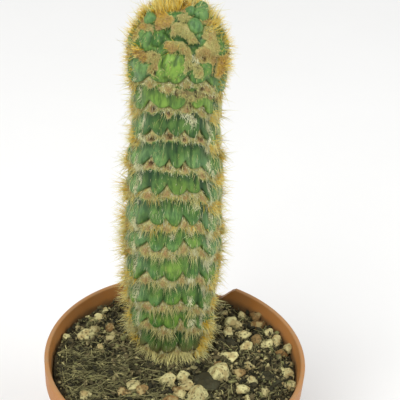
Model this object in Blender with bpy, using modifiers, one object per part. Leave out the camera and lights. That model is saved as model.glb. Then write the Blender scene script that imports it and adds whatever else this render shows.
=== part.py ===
"""A ribbed, slightly monstrose trichocereus in a chipped plastic pot of pumice mix.

Metres, +Z up. The origin is the middle of the pot's underside. The front is -Y, and angles round the
stem are in degrees from the front towards +X.
"""

import math
import random

import bmesh
import bpy
from mathutils import Matrix, Vector, noise

GAP = 0.0003
MERGE_DISTANCE = 1e-6

# Pot: a turned shell with a collar, a centre pad and a foot ring
POT_HEIGHT = 0.092
RIM_RADIUS = 0.060
LIP_THICKNESS = 0.0028
COLLAR_HEIGHT = 0.012
COLLAR_DRAFT = 0.0004
COLLAR_BREAK = 0.0011
COLLAR_UNDERCUT = 0.0006
WALL = 0.0018
NECK_RADIUS = 0.0576
FOOT_RADIUS = 0.042
FOOT_WIDTH = 0.005
PAD_RADIUS = 0.014
FLOOR_RECESS = 0.002
FLOOR_TOP = 0.004
EDGE_ROUND = 0.0007
POT_STEPS = 48
DRAIN_COUNT = 8
DRAIN_RADIUS = 0.0038
DRAIN_CIRCLE = 0.0255
DRAIN_STEPS = 14
CUT_DEPTH = 0.012

# Break in the rim: its middle from the back towards +X, how far its cut reaches in from the rim, the way it
# runs through the wall, and its outline as (along the rim, height)
BREAK_ANGLE = 18.0
BREAK_REACH = 0.010
BREAK_WAY = (0.0015, 0.020, 0.0006)
BREAK_OUTLINE = (
    (0.0099, 0.0920), (0.0112, 0.0960), (-0.0110, 0.0960), (-0.0096, 0.0920),
    (-0.0068, 0.0868), (-0.0035, 0.0848), (0.0002, 0.0836), (0.0030, 0.0850), (0.0072, 0.0898),
)

# Soil
SOIL_TOP = 0.0820
MOUND_RISE = 0.0030
MOUND_WIDTH = 0.014
CLOD_RISE = 0.0011
CLOD_SIZE = 0.009
SOIL_STEPS = 36
SOIL_RINGS = 9
HOLE_STEPS = 26
HOLE_HEIGHTS = (0.0640, 0.0690, 0.0745, 0.0820, 0.0900)
HOLE_GAP = 0.0005
STEM_AT_SOIL = 0.0185
GRIT_COUNT = 24
GRIT_RADIUS = (0.0012, 0.0021)
GRIT_PROUD = 0.35

# Stones: kind, x, y, then the whole size along, across and up, the turn in degrees, the height of the middle,
# and how much narrower the near end is
STONES = (
    ("pumice", 0.0202, -0.0045, 0.0096, 0.0142, 0.0100, 12, 0.0860, 0.55),
    ("pumice", 0.0118, -0.0205, 0.0104, 0.0108, 0.0090, 30, 0.0855, 0.2),
    ("pumice", -0.0428, 0.0158, 0.0086, 0.0078, 0.0072, 15, 0.0852, 0.0),
    ("pumice", -0.0376, 0.0315, 0.0066, 0.0058, 0.0056, 40, 0.0850, 0.0),
    ("pumice", -0.0362, 0.0376, 0.0050, 0.0046, 0.0044, 10, 0.0846, 0.0),
    ("pumice", -0.0356, 0.0098, 0.0054, 0.0050, 0.0046, 65, 0.0845, 0.0),
    ("pumice", -0.0515, 0.0150, 0.0042, 0.0052, 0.0066, 20, 0.0848, 0.0),
    ("pumice", 0.0250, 0.0335, 0.0068, 0.0070, 0.0076, 25, 0.0856, 0.0),
    ("pumice", 0.0330, 0.0168, 0.0092, 0.0060, 0.0062, -15, 0.0850, 0.0),
    ("pumice", 0.0322, 0.0262, 0.0072, 0.0056, 0.0054, 35, 0.0848, 0.0),
    ("pumice", 0.0258, 0.0083, 0.0096, 0.0070, 0.0066, -8, 0.0852, 0.0),
    ("pumice", 0.0520, -0.0015, 0.0062, 0.0072, 0.0066, 75, 0.0850, 0.0),
    ("pumice", 0.0046, -0.0076, 0.0070, 0.0056, 0.0058, -30, 0.0850, 0.0),
    ("pumice", 0.0318, -0.0135, 0.0064, 0.0052, 0.0048, 5, 0.0846, 0.0),
    ("lapilli", 0.0492, 0.0135, 0.0072, 0.0058, 0.0056, 20, 0.0848, 0.0),
    ("lapilli", 0.0390, 0.0330, 0.0072, 0.0066, 0.0062, 50, 0.0850, 0.0),
    ("lapilli", -0.0318, 0.0242, 0.0062, 0.0052, 0.0048, -20, 0.0846, 0.0),
    ("lapilli", 0.0018, -0.0165, 0.0056, 0.0060, 0.0050, 15, 0.0846, 0.0),
    ("lava", 0.0110, -0.0096, 0.0052, 0.0092, 0.0066, 28, 0.0848, 0.3),
    ("lava", 0.0246, 0.0192, 0.0056, 0.0062, 0.0054, 60, 0.0847, 0.0),
)
STONE_ROUGHNESS = 0.16
LUMPS_PER_STONE = 2.3
SMALL_STONE = 0.0055

# Stem: a leaning column whose outline is measured at the bottom of its notches, as (height, radius)
STEM_FOOT = Vector((-0.0024, 0.0210, 0.0866))
STEM_LEAN = -0.0252
STEM_OUTLINE = (
    (0.0640, 0.0090), (0.0700, 0.0128), (0.0790, 0.0158), (0.0880, 0.0172), (0.0980, 0.0179),
    (0.1100, 0.0182), (0.1260, 0.0193), (0.1420, 0.0200), (0.1580, 0.0193), (0.1740, 0.0191),
    (0.1850, 0.0188), (0.1960, 0.0174), (0.2060, 0.0170), (0.2140, 0.0170), (0.2220, 0.0181),
    (0.2320, 0.0194), (0.2400, 0.0191), (0.2470, 0.0166), (0.2520, 0.0128), (0.2550, 0.0085),
    (0.2565, 0.0040), (0.2569, 0.0),
)
OUTLINE_STEPS = 12
DRUM_RADIUS = 0.02
DRUM_STEP = 0.003
RIB_ANGLES = (-31.0, -7.5, 14.5, 36.7, 71.0, 98.0, 125.0, 152.0, 179.0, 206.0, 233.0, 260.0, 287.0)
RIB_SHIFTS = (
    -0.0010, 0.0, 0.0022, -0.0005, 0.0, 0.0008, 0.0, -0.0006, 0.0009, 0.0, -0.0008, 0.0006, 0.0,
)
COLUMNS_PER_RIB = 4

# Rows of felt: their heights on the front of the column, then the steps along the domed head
ROW_HEIGHTS = (0.0902, 0.1060, 0.1194, 0.1343, 0.1503, 0.1638, 0.1792, 0.1926, 0.2071, 0.2216, 0.2331)
HEAD_STEPS = (0.0116, 0.0098, 0.0070)
FULL_STEP = 0.0144
ROW_TILT = 0.0012
ROW_JITTER = 0.0007
SIDE_DROP = 0.0098
LOWEST_ROW_DROP = 0.6
SIDE_DROP_ANGLES = (26.0, 78.0)
HEAD_HEIGHTS = (0.236, 0.254)
SCALLOP = 0.0046
SCALLOP_POWER = 1.8
SCALLOP_MIDDLE = 0.35
SCALLOP_CALM = 0.6
CALM_HEIGHTS = (0.208, 0.224)
FELT_ON_CREST = 0.0065
FELT_IN_GROOVE = 0.0020
NOTCH_DEPTH = 0.0003
CHIN_SWELL = 0.0024
SWELL_POWER = 0.7
CHIN_DROP = 0.0005
RIB_RISE = 0.0011
CHIN_AT = 0.9
MIDDLE_AT = 0.5
FIRST_HEAD_ROW = 9
FOOT_HEIGHTS = (0.0640, 0.0690, 0.0745)
RELIEF_HEIGHTS = (0.0865, 0.0915)

# Round growths on the head: angle, run back from the top, radius
GROWTHS = (
    (32.5, 0.0126, 0.0035), (-63.0, 0.0131, 0.0031), (92.0, 0.0085, 0.0032), (158.0, 0.0150, 0.0033),
    (-140.0, 0.0110, 0.0030),
)
GROWTH_SUNK = 0.25

# Spines: they droop by DROOP low on the stem and rise by RISE high on it, as parts of their way out
SPINE_RADIUS = 0.00036
SPINE_LENGTH = (0.0075, 0.0105)
SPINE_ROOT = 0.0016
SPINE_FOOT_RISE = 0.0003
SPINE_ASIDE = 0.00075
SPINE_SPLAY = (0.2, 0.7)
SPINE_TOSS = 0.3
DROOP = -0.75
RISE = 0.25
DROOP_HEIGHTS = (0.10, 0.20)
SPINE_FLOOR = 0.0874
CROWN_ROW = 12
CROWN_SPINES = 24
CROWN_RUNS = (0.0006, 0.0085)
CROWN_LENGTH = (0.005, 0.008)
CROWN_TOSS = 0.25
CROWN_RISE = 0.5
GOLDEN_ANGLE = math.pi * (3.0 - math.sqrt(5.0))


def clear_scene():
    for obj in list(bpy.data.objects):
        bpy.data.objects.remove(obj, do_unlink=True)


def new_collection(name):
    collection = bpy.data.collections.new(name)
    bpy.context.scene.collection.children.link(collection)
    return collection


def new_material(name, colour, roughness, metallic=0.0):
    material = bpy.data.materials.new(name)
    material.use_nodes = True
    shader = material.node_tree.nodes["Principled BSDF"]
    shader.inputs["Base Color"].default_value = (*colour, 1.0)
    shader.inputs["Roughness"].default_value = roughness
    shader.inputs["Metallic"].default_value = metallic
    return material


def add_object(name, bm, collection, material=None):
    """Makes an object of the bmesh and frees it."""
    mesh = bpy.data.meshes.new(name)
    bmesh.ops.recalc_face_normals(bm, faces=bm.faces)
    bm.to_mesh(mesh)
    bm.free()
    if material:
        mesh.materials.append(material)
    obj = bpy.data.objects.new(name, mesh)
    collection.objects.link(obj)
    return obj


def add_cutter(name, bm, collection):
    obj = add_object(name, bm, collection)
    obj.hide_render = True
    obj.display_type = "WIRE"
    return obj


def smooth_shade(obj, angle=35.0):
    obj.data.shade_smooth()
    obj.data.set_sharp_from_angle(angle=math.radians(angle))


def boolean(obj, operation, collection, solver="EXACT"):
    """Adds a Boolean of a whole collection to the object."""
    modifier = obj.modifiers.new(operation.title(), "BOOLEAN")
    modifier.operation = operation
    modifier.operand_type = "COLLECTION"
    modifier.collection = collection
    modifier.solver = solver
    return modifier


def apply_modifiers(obj):
    """Gives the object its evaluated mesh, and takes its modifiers away."""
    graph = bpy.context.evaluated_depsgraph_get()
    mesh = bpy.data.meshes.new_from_object(obj.evaluated_get(graph))
    obj.modifiers.clear()
    obj.data = mesh


def remove_collection(collection):
    for obj in list(collection.objects):
        bpy.data.objects.remove(obj, do_unlink=True)
    bpy.data.collections.remove(collection)


def blend(a, b, part):
    return a + (b - a) * part


def smoothstep(low, high, value):
    part = min(1.0, max(0.0, (value - low) / (high - low)))
    return part * part * (3.0 - 2.0 * part)


def turned(profile, steps):
    """A closed bmesh of a profile of (radius, height) that starts and ends on the axis."""
    bm = bmesh.new()
    verts = [bm.verts.new((radius, 0.0, height)) for radius, height in profile]
    edges = [bm.edges.new(pair) for pair in zip(verts, verts[1:])]
    bmesh.ops.spin(bm, geom=verts + edges, axis=(0, 0, 1), cent=(0, 0, 0), angle=math.tau,
                   steps=steps, use_merge=True)
    bmesh.ops.remove_doubles(bm, verts=bm.verts, dist=MERGE_DISTANCE)
    return bm


def pot_inside(height):
    """The radius of the pot's inner wall at a height."""
    collar_foot = POT_HEIGHT - COLLAR_HEIGHT
    if height < collar_foot:
        return blend(FOOT_RADIUS, NECK_RADIUS, height / collar_foot) - WALL
    part = (height - collar_foot) / COLLAR_HEIGHT
    return blend(NECK_RADIUS - WALL, RIM_RADIUS - LIP_THICKNESS, part)


def pot_profile():
    """The pot's section, from its inner floor's middle up the inside, over the rim and under the base."""
    collar_foot = POT_HEIGHT - COLLAR_HEIGHT
    inner_lip = RIM_RADIUS - LIP_THICKNESS
    bead = 0.5 * LIP_THICKNESS
    lip_round = [
        (RIM_RADIUS - bead - bead * math.cos(math.radians(a)),
         POT_HEIGHT - EDGE_ROUND + EDGE_ROUND * math.sin(math.radians(a)))
        for a in (0, 50, 90, 130, 180)
    ]
    return [
        (0.0, FLOOR_TOP),
        (pot_inside(FLOOR_TOP) - EDGE_ROUND, FLOOR_TOP),
        (pot_inside(FLOOR_TOP + EDGE_ROUND), FLOOR_TOP + EDGE_ROUND),
        (pot_inside(0.5 * collar_foot), 0.5 * collar_foot),
        (pot_inside(collar_foot), collar_foot),
        *lip_round,
        (RIM_RADIUS - COLLAR_DRAFT, collar_foot + EDGE_ROUND),
        (RIM_RADIUS - COLLAR_BREAK, collar_foot),
        (NECK_RADIUS, collar_foot - COLLAR_UNDERCUT),
        (blend(FOOT_RADIUS, NECK_RADIUS, 0.5), 0.5 * collar_foot),
        (blend(FOOT_RADIUS, NECK_RADIUS, EDGE_ROUND / collar_foot), EDGE_ROUND),
        (FOOT_RADIUS - EDGE_ROUND, 0.0),
        (FOOT_RADIUS - FOOT_WIDTH, 0.0),
        (FOOT_RADIUS - FOOT_WIDTH - FLOOR_RECESS, FLOOR_RECESS),
        (PAD_RADIUS + FLOOR_RECESS, FLOOR_RECESS),
        (PAD_RADIUS, 0.0),
        (0.0, 0.0),
    ]


def drain_cutters(collection):
    for index in range(DRAIN_COUNT):
        bm = bmesh.new()
        turn = Matrix.Rotation(math.tau * index / DRAIN_COUNT, 4, "Z")
        place = turn @ Matrix.Translation((DRAIN_CIRCLE, 0, FLOOR_RECESS))
        bmesh.ops.create_cone(bm, cap_ends=True, segments=DRAIN_STEPS, radius1=DRAIN_RADIUS,
                              radius2=DRAIN_RADIUS, depth=CUT_DEPTH, matrix=place)
        add_cutter(f"drain_cutter_{index + 1}", bm, collection)


def break_cutter(collection):
    """The missing piece of rim: its outline stands along the rim and runs through the wall."""
    bm = bmesh.new()
    verts = [bm.verts.new((along, RIM_RADIUS - BREAK_REACH, height)) for along, height in BREAK_OUTLINE]
    face = bm.faces.new(verts)
    through = bmesh.ops.extrude_face_region(bm, geom=[face])["geom"]
    moved = [item for item in through if isinstance(item, bmesh.types.BMVert)]
    bmesh.ops.translate(bm, verts=moved, vec=BREAK_WAY)
    turn = Matrix.Rotation(-math.radians(BREAK_ANGLE), 3, "Z")
    bmesh.ops.rotate(bm, verts=bm.verts, cent=(0, 0, 0), matrix=turn)
    bmesh.ops.triangulate(bm, faces=bm.faces)
    add_cutter("break_cutter", bm, collection)


def make_pot(parts, cutters):
    """The pot's section on the +X side, turned, with the drain holes and the broken rim cut from it."""
    bm = bmesh.new()
    verts = [bm.verts.new((radius, 0.0, height)) for radius, height in pot_profile()]
    for pair in zip(verts, verts[1:]):
        bm.edges.new(pair)
    pot = add_object("pot", bm, parts, new_material("terracotta_plastic", (0.42, 0.17, 0.06), 0.55))
    screw = pot.modifiers.new("Turn", "SCREW")
    screw.axis = "Z"
    screw.steps = screw.render_steps = POT_STEPS
    screw.use_merge_vertices = True
    screw.merge_threshold = MERGE_DISTANCE
    drain_cutters(cutters)
    break_cutter(cutters)
    boolean(pot, "DIFFERENCE", cutters)
    apply_modifiers(pot)
    smooth_shade(pot)
    return pot


def stem_axis(height):
    """The middle of the stem at a height."""
    return Vector((STEM_FOOT.x + STEM_LEAN * (height - STEM_FOOT.z), STEM_FOOT.y, height))


def curve_through(points, steps):
    """Points along the Catmull-Rom curve through the given ones."""
    points = [Vector(point) for point in points]
    padded = [points[0], *points, points[-1]]
    curve = []
    for a, b, c, d in zip(padded, padded[1:], padded[2:], padded[3:]):
        for step in range(steps):
            t = step / steps
            square, cube = 2 * a - 5 * b + 4 * c - d, 3 * b - a - 3 * c + d
            curve.append(b + 0.5 * ((c - a) * t + square * t ** 2 + cube * t ** 3))
    return [*curve, points[-1]]


class Outline:
    """The stem's outline, read by the length run along it from the foot."""

    def __init__(self):
        self.points = curve_through(STEM_OUTLINE, OUTLINE_STEPS)
        self.runs = [0.0]
        for a, b in zip(self.points, self.points[1:]):
            self.runs.append(self.runs[-1] + (b - a).length)
        self.length = self.runs[-1]

    def piece(self, run):
        index = 0
        while index < len(self.points) - 2 and self.runs[index + 1] < run:
            index += 1
        part = (run - self.runs[index]) / (self.runs[index + 1] - self.runs[index])
        return self.points[index], self.points[index + 1], min(1.0, max(0.0, part))

    def at(self, run):
        """The height and radius, and the outward direction in the same two numbers."""
        a, b, part = self.piece(run)
        along = (b - a).normalized()
        return a.lerp(b, part), Vector((-along.y, along.x))

    def run_at(self, height):
        for a, b, run, after in zip(self.points, self.points[1:], self.runs, self.runs[1:]):
            if a.x <= height < b.x:
                return blend(run, after, (height - a.x) / (b.x - a.x))
        return self.length


OUTLINE = Outline()


def row_runs():
    """The run of each felt row, from the lowest."""
    runs = [OUTLINE.run_at(height) for height in ROW_HEIGHTS]
    for step in HEAD_STEPS:
        runs.append(runs[-1] + step)
    return runs


ROW_RUNS = row_runs()
ROW_OFFSETS = [
    [random.Random(1000 * row + rib).uniform(-ROW_JITTER, ROW_JITTER) for rib in range(len(RIB_ANGLES))]
    for row in range(len(ROW_RUNS))
]


def row_size(row):
    """How large a row's felt and scallops are, where 1 is a full row of the column."""
    if row == 0:
        return 1.0
    return min(1.0, (ROW_RUNS[row] - ROW_RUNS[row - 1]) / FULL_STEP)


def rib_at(column):
    """The rib, how far on the column is towards the next one, and its angle in radians."""
    rib, step = divmod(column, COLUMNS_PER_RIB)
    part = step / COLUMNS_PER_RIB
    after = RIB_ANGLES[(rib + 1) % len(RIB_ANGLES)] + (360.0 if rib + 1 == len(RIB_ANGLES) else 0.0)
    return rib, part, math.radians(blend(RIB_ANGLES[rib], after, part))


def crest(part):
    """1 on a rib's crest and 0 in the groove between two."""
    return abs(1.0 - 2.0 * part)


def row_drop(angle):
    """How much lower the rows run on the sides and back than on the front, where 1 is fully lower."""
    away = abs((math.degrees(angle) + 180.0) % 360.0 - 180.0)
    return smoothstep(*SIDE_DROP_ANGLES, away)


def notch_run(row, rib, part, angle):
    """The run of the notch above a row's felt: it peaks on each crest and dips in each groove."""
    after = (rib + 1) % len(RIB_ANGLES)
    shift = blend(RIB_SHIFTS[rib] + ROW_OFFSETS[row][rib], RIB_SHIFTS[after] + ROW_OFFSETS[row][after], part)
    height = OUTLINE.at(ROW_RUNS[row])[0].x
    calm = blend(1.0, SCALLOP_CALM, smoothstep(*CALM_HEIGHTS, height))
    peak = SCALLOP * calm * (crest(part) ** SCALLOP_POWER - SCALLOP_MIDDLE)
    upright = 1.0 - smoothstep(*HEAD_HEIGHTS, height)
    drop = SIDE_DROP * (LOWEST_ROW_DROP if row == 0 else 1.0)
    slope = ROW_TILT * math.sin(angle) + drop * row_drop(angle)
    return ROW_RUNS[row] + row_size(row) * (peak + shift) - slope * upright


def felt_height(row, part):
    return row_size(row) * blend(FELT_IN_GROOVE, FELT_ON_CREST, crest(part))


def swell(q, part):
    """How far a cell stands out, from its felt (q = 0) down to its chin (q = 1)."""
    bulge = CHIN_SWELL * q ** SWELL_POWER
    relief = RIB_RISE * (2.0 * crest(part) - 1.0) * (1.0 - q)
    return bulge + relief


def surface_point(run, angle, rise):
    """The point at a run and angle, raised square to the outline."""
    (height, radius), outward = OUTLINE.at(run)
    height += outward.x * rise
    radius = max(0.0, radius + outward.y * rise)
    return stem_axis(height) + Vector((radius * math.sin(angle), -radius * math.cos(angle), 0.0))


def relief_point(run, angle, rise):
    """A surface point whose rise fades out towards the soil, so that the buried foot is plain."""
    fade = smoothstep(*RELIEF_HEIGHTS, OUTLINE.at(run)[0].x)
    return surface_point(run, angle, fade * rise)


def stem_rings():
    """Every ring of the stem from the foot up, each as (kind, row, height or q)."""
    rings = [("plain", 0, height) for height in FOOT_HEIGHTS]
    for row in range(len(ROW_RUNS)):
        rings += [("felt", row, 0.0), ("notch", row, 0.0), ("chin", row, CHIN_AT)]
        if row >= FIRST_HEAD_ROW:
            rings.append(("middle", row, MIDDLE_AT))
    return rings


def cell_top(row, rib, part, angle):
    """The run where the cell above a row begins, under the next row's felt."""
    if row + 1 < len(ROW_RUNS):
        return notch_run(row + 1, rib, part, angle) - felt_height(row + 1, part)
    return OUTLINE.length


def ring_point(ring, column):
    kind, row, value = ring
    rib, part, angle = rib_at(column)
    if kind == "plain":
        return surface_point(OUTLINE.run_at(value), angle, 0.0)
    notch = notch_run(row, rib, part, angle)
    if kind == "notch":
        return relief_point(notch + CHIN_DROP, angle, -NOTCH_DEPTH)
    if kind == "felt":
        return relief_point(notch - felt_height(row, part), angle, swell(0.0, part))
    if kind == "middle":
        notch = blend(cell_top(row, rib, part, angle), notch, value)
    return relief_point(notch, angle, swell(value, part))


def stem_body():
    """A plain drum with an edge for each ring, shaped ring by ring."""
    rings = stem_rings()
    columns = COLUMNS_PER_RIB * len(RIB_ANGLES)
    top = DRUM_STEP * (len(rings) - 1)
    side = [(DRUM_RADIUS, DRUM_STEP * level) for level in range(len(rings))]
    bm = turned([(0.0, 0.0), *side, (0.0, top)], columns)
    for vert in bm.verts:
        level = round(vert.co.z / DRUM_STEP)
        if vert.co.xy.length < 0.5 * DRUM_RADIUS:
            vert.co = stem_axis(rings[0][2] if level == 0 else STEM_OUTLINE[-1][0])
            continue
        column = round(math.atan2(vert.co.y, vert.co.x) / math.tau * columns) % columns
        vert.co = ring_point(rings[level], column)
    return bm


def spine(base, direction, length):
    """A three-sided needle with its root sunk into the stem."""
    bm = bmesh.new()
    depth = length + SPINE_ROOT
    bmesh.ops.create_cone(bm, cap_ends=True, segments=3, radius1=SPINE_RADIUS, radius2=0.0, depth=depth)
    bmesh.ops.translate(bm, verts=bm.verts, vec=(0.0, 0.0, 0.5 * depth - SPINE_ROOT))
    turn = direction.to_track_quat("Z", "Y").to_matrix()
    bmesh.ops.rotate(bm, verts=bm.verts, cent=(0, 0, 0), matrix=turn)
    bmesh.ops.translate(bm, verts=bm.verts, vec=base)
    return bm


def areole(row, rib, side):
    """A spine's foot on one side of a felt pad, and the outward, sideways and upward directions there."""
    angle = math.radians(RIB_ANGLES[rib])
    run = notch_run(row, rib, 0.0, angle) - 0.5 * felt_height(row, 0.0)
    angle += side * row_size(row) * SPINE_ASIDE / OUTLINE.at(run)[0].y
    base = surface_point(run, angle, SPINE_FOOT_RISE)
    outward = (surface_point(run, angle, SPINE_FOOT_RISE + RIB_RISE) - base).normalized()
    sideways = Vector((math.cos(angle), math.sin(angle), 0.0))
    return base, outward, sideways, outward.cross(sideways).normalized()


def clear_of_ground(base, direction, length):
    """The direction, raised until the needle's tip is clear of the soil."""
    while (base + direction * length).z < SPINE_FLOOR:
        direction = (direction + Vector((0.0, 0.0, 0.15))).normalized()
    return direction


def make_spines(collection):
    chance = random.Random(7)
    for row in range(len(ROW_RUNS)):
        sides = (-1.0, 1.0, 0.0) if FIRST_HEAD_ROW <= row < CROWN_ROW else (-1.0, 1.0)
        for rib in range(len(RIB_ANGLES)):
            for side in sides:
                base, outward, sideways, upward = areole(row, rib, side)
                droop = blend(DROOP, RISE, smoothstep(*DROOP_HEIGHTS, base.z))
                lift = droop + chance.uniform(-SPINE_TOSS, SPINE_TOSS)
                aside = sideways * side * chance.uniform(*SPINE_SPLAY)
                direction = (outward + aside + upward * lift).normalized()
                length = chance.uniform(*SPINE_LENGTH)
                if base.z < SPINE_FLOOR:
                    continue
                direction = clear_of_ground(base, direction, length)
                add_object(f"spine_{row}_{rib}", spine(base, direction, length), collection)
    for index in range(CROWN_SPINES):
        angle = index * GOLDEN_ANGLE
        run = OUTLINE.length - blend(*CROWN_RUNS, math.sqrt((index + 0.5) / CROWN_SPINES))
        base = surface_point(run, angle, SPINE_FOOT_RISE)
        outward = (surface_point(run, angle, SPINE_FOOT_RISE + RIB_RISE) - base).normalized()
        toss_x, toss_y = (chance.uniform(-CROWN_TOSS, CROWN_TOSS) for _ in range(2))
        direction = (outward + Vector((toss_x, toss_y, CROWN_RISE))).normalized()
        needle = spine(base, direction, chance.uniform(*CROWN_LENGTH))
        add_object(f"crown_spine_{index}", needle, collection)


def make_growths(collection):
    for index, (angle, back, radius) in enumerate(GROWTHS):
        bm = bmesh.new()
        bmesh.ops.create_icosphere(bm, subdivisions=2, radius=radius)
        middle = surface_point(OUTLINE.length - back, math.radians(angle), CHIN_SWELL - GROWTH_SUNK * radius)
        bmesh.ops.translate(bm, verts=bm.verts, vec=middle)
        add_object(f"growth_{index + 1}", bm, collection)


def make_stem(parts):
    skin = new_material("cactus_skin", (0.09, 0.24, 0.08), 0.5)
    stem = add_object("stem", stem_body(), parts, skin)
    grown = new_collection("grown")
    make_growths(grown)
    make_spines(grown)
    boolean(stem, "UNION", grown, "MANIFOLD")
    apply_modifiers(stem)
    remove_collection(grown)
    return stem


def soil_height(x, y):
    """The soil's top: a low mound round the stem, and clods."""
    axis = stem_axis(SOIL_TOP)
    from_stem = math.hypot(x - axis.x, y - axis.y)
    mound = MOUND_RISE * math.exp(-max(0.0, from_stem - STEM_AT_SOIL) / MOUND_WIDTH)
    clods = CLOD_RISE * noise.noise(Vector((x, y, 0.0)) / CLOD_SIZE)
    return SOIL_TOP + mound + clods


def soil_body():
    wall_top = pot_inside(SOIL_TOP) - GAP
    floor = FLOOR_TOP + GAP
    top = [(wall_top * ring / SOIL_RINGS, SOIL_TOP) for ring in range(SOIL_RINGS, -1, -1)]
    middle = 0.5 * (floor + SOIL_TOP)
    side = [
        (0.0, floor),
        (pot_inside(floor + EDGE_ROUND) - EDGE_ROUND - 2 * GAP, floor),
        (pot_inside(floor + 2 * EDGE_ROUND) - GAP, floor + 2 * EDGE_ROUND),
        (pot_inside(middle) - GAP, middle),
    ]
    bm = turned(side + top, SOIL_STEPS)
    for vert in bm.verts:
        if vert.co.z > SOIL_TOP - GAP:
            vert.co.z = soil_height(vert.co.x, vert.co.y)
    return bm


def stem_hole(collection):
    """A plain hole that follows the stem's buried foot."""
    side = [(OUTLINE.at(OUTLINE.run_at(height))[0].y + HOLE_GAP, height) for height in HOLE_HEIGHTS]
    side[0] = (side[0][0], side[0][1] - GAP)
    profile = [(0.0, side[0][1]), *side, (0.0, side[-1][1])]
    bm = turned(profile, HOLE_STEPS)
    for vert in bm.verts:
        axis = stem_axis(vert.co.z)
        vert.co.x += axis.x
        vert.co.y += axis.y
    add_cutter("stem_hole", bm, collection)


def add_stone(add, name, index, collection, *extra, grow=0.0):
    """A worn lump of stone in its place, or with grow, the socket that it lies in."""
    _, x, y, length, width, height, turn, middle, taper = STONES[index]
    bm = bmesh.new()
    bmesh.ops.create_icosphere(bm, subdivisions=1 if length < SMALL_STONE else 2, radius=0.5)
    for vert in bm.verts:
        lump = noise.noise(vert.co * LUMPS_PER_STONE + Vector((11.0 * index, 0.0, 0.0)))
        vert.co *= 1.0 + STONE_ROUGHNESS * lump
        vert.co.x *= 1.0 + taper * vert.co.y
    size = Vector((length + 2 * grow, width + 2 * grow, height + 2 * grow))
    bmesh.ops.scale(bm, verts=bm.verts, vec=size)
    obj = add(name, bm, collection, *extra)
    obj.location = (x, y, middle)
    obj.rotation_euler.z = math.radians(turn)


def stone_names():
    """A name for each stone: its kind and its number among that kind."""
    seen = {}
    names = []
    for kind, *_ in STONES:
        seen[kind] = seen.get(kind, 0) + 1
        names.append(f"{kind}_{seen[kind]:02d}")
    return names


def make_stones(parts):
    materials = {
        "pumice": new_material("pumice", (0.60, 0.55, 0.38), 0.9),
        "lapilli": new_material("lapilli", (0.42, 0.22, 0.10), 0.9),
        "lava": new_material("lava", (0.05, 0.05, 0.055), 0.8),
    }
    for index, name in enumerate(stone_names()):
        add_stone(add_object, name, index, parts, materials[STONES[index][0]])


def is_free(x, y, radius):
    """Whether a piece of grit lies clear of the stem, the wall and the stones."""
    axis = stem_axis(SOIL_TOP)
    if math.hypot(x - axis.x, y - axis.y) < STEM_AT_SOIL + radius:
        return False
    if math.hypot(x, y) > pot_inside(SOIL_TOP) - radius - 2 * GAP:
        return False
    return all(
        math.hypot(x - at_x, y - at_y) > 0.5 * max(length, width) + radius + 2 * GAP
        for _, at_x, at_y, length, width, *_ in STONES
    )


def make_grit(collection):
    """Small stones bedded in the soil, fused to it."""
    chance = random.Random(3)
    placed = []
    while len(placed) < GRIT_COUNT:
        radius = chance.uniform(*GRIT_RADIUS)
        reach = pot_inside(SOIL_TOP) * math.sqrt(chance.random())
        angle = chance.uniform(0.0, math.tau)
        x, y = reach * math.cos(angle), reach * math.sin(angle)
        if not is_free(x, y, radius):
            continue
        if any(math.hypot(x - px, y - py) < radius + other + GAP for px, py, other in placed):
            continue
        placed.append((x, y, radius))
        bm = bmesh.new()
        bmesh.ops.create_icosphere(bm, subdivisions=1, radius=radius)
        axis = Vector((1.0, chance.random(), chance.random()))
        turn = Matrix.Rotation(chance.uniform(0.0, math.tau), 4, axis)
        place = Matrix.Translation((x, y, soil_height(x, y) + GRIT_PROUD * radius))
        bmesh.ops.transform(bm, verts=bm.verts, matrix=place @ turn)
        add_object(f"grit_{len(placed)}", bm, collection)


def make_soil(parts, cutters):
    earth = new_material("potting_mix", (0.07, 0.055, 0.035), 0.95)
    soil = add_object("potting_soil", soil_body(), parts, earth)
    grit = new_collection("grit")
    make_grit(grit)
    boolean(soil, "UNION", grit, "MANIFOLD")
    apply_modifiers(soil)
    remove_collection(grit)
    stem_hole(cutters)
    for index, name in enumerate(stone_names()):
        add_stone(add_cutter, f"socket_{name}", index, cutters, grow=GAP)
    boolean(soil, "DIFFERENCE", cutters)
    return soil


def main():
    clear_scene()
    parts = new_collection("potted_trichocereus")
    make_pot(parts, new_collection("pot_cutters"))
    make_soil(parts, new_collection("soil_cutters"))
    make_stones(parts)
    make_stem(parts)


main()
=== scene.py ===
"""Dresses a ribbed, golden-spined trichocereus in its chipped plastic pot of pumice mix.

Metres, +Z up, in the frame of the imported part. The front is -Y, and angles round the stem are in degrees
from the front towards +X. A run is a length along the stem's outline, from its buried foot to its crown.
A pair of heights, angles or patches says where a change starts and where it is complete, and a pair of
sizes, lengths, radii or tones the range that a random one is drawn from.
"""

import functools
import math
import random

import bmesh
import bpy
import numpy as np
from bpy.props import FloatProperty, FloatVectorProperty, IntProperty, PointerProperty
from mathutils import Matrix, Vector, noise


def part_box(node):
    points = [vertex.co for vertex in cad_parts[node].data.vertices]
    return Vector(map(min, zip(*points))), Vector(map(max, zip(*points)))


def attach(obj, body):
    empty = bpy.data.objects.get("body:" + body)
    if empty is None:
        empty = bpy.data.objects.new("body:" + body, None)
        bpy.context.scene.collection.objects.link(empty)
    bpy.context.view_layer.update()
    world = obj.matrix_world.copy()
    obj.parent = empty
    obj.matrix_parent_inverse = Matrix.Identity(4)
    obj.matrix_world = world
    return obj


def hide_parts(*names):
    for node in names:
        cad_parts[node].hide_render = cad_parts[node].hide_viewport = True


bl_info = {
    "name": "Potted trichocereus",
    "version": (1, 0, 0),
    "blender": (4, 5, 0),
    "location": "3D View > Sidebar > Trichocereus",
    "description": "Finishes a potted columnar cactus: its skin, felt and spines, its mix and its pot",
    "category": "Add Mesh",
}

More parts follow.
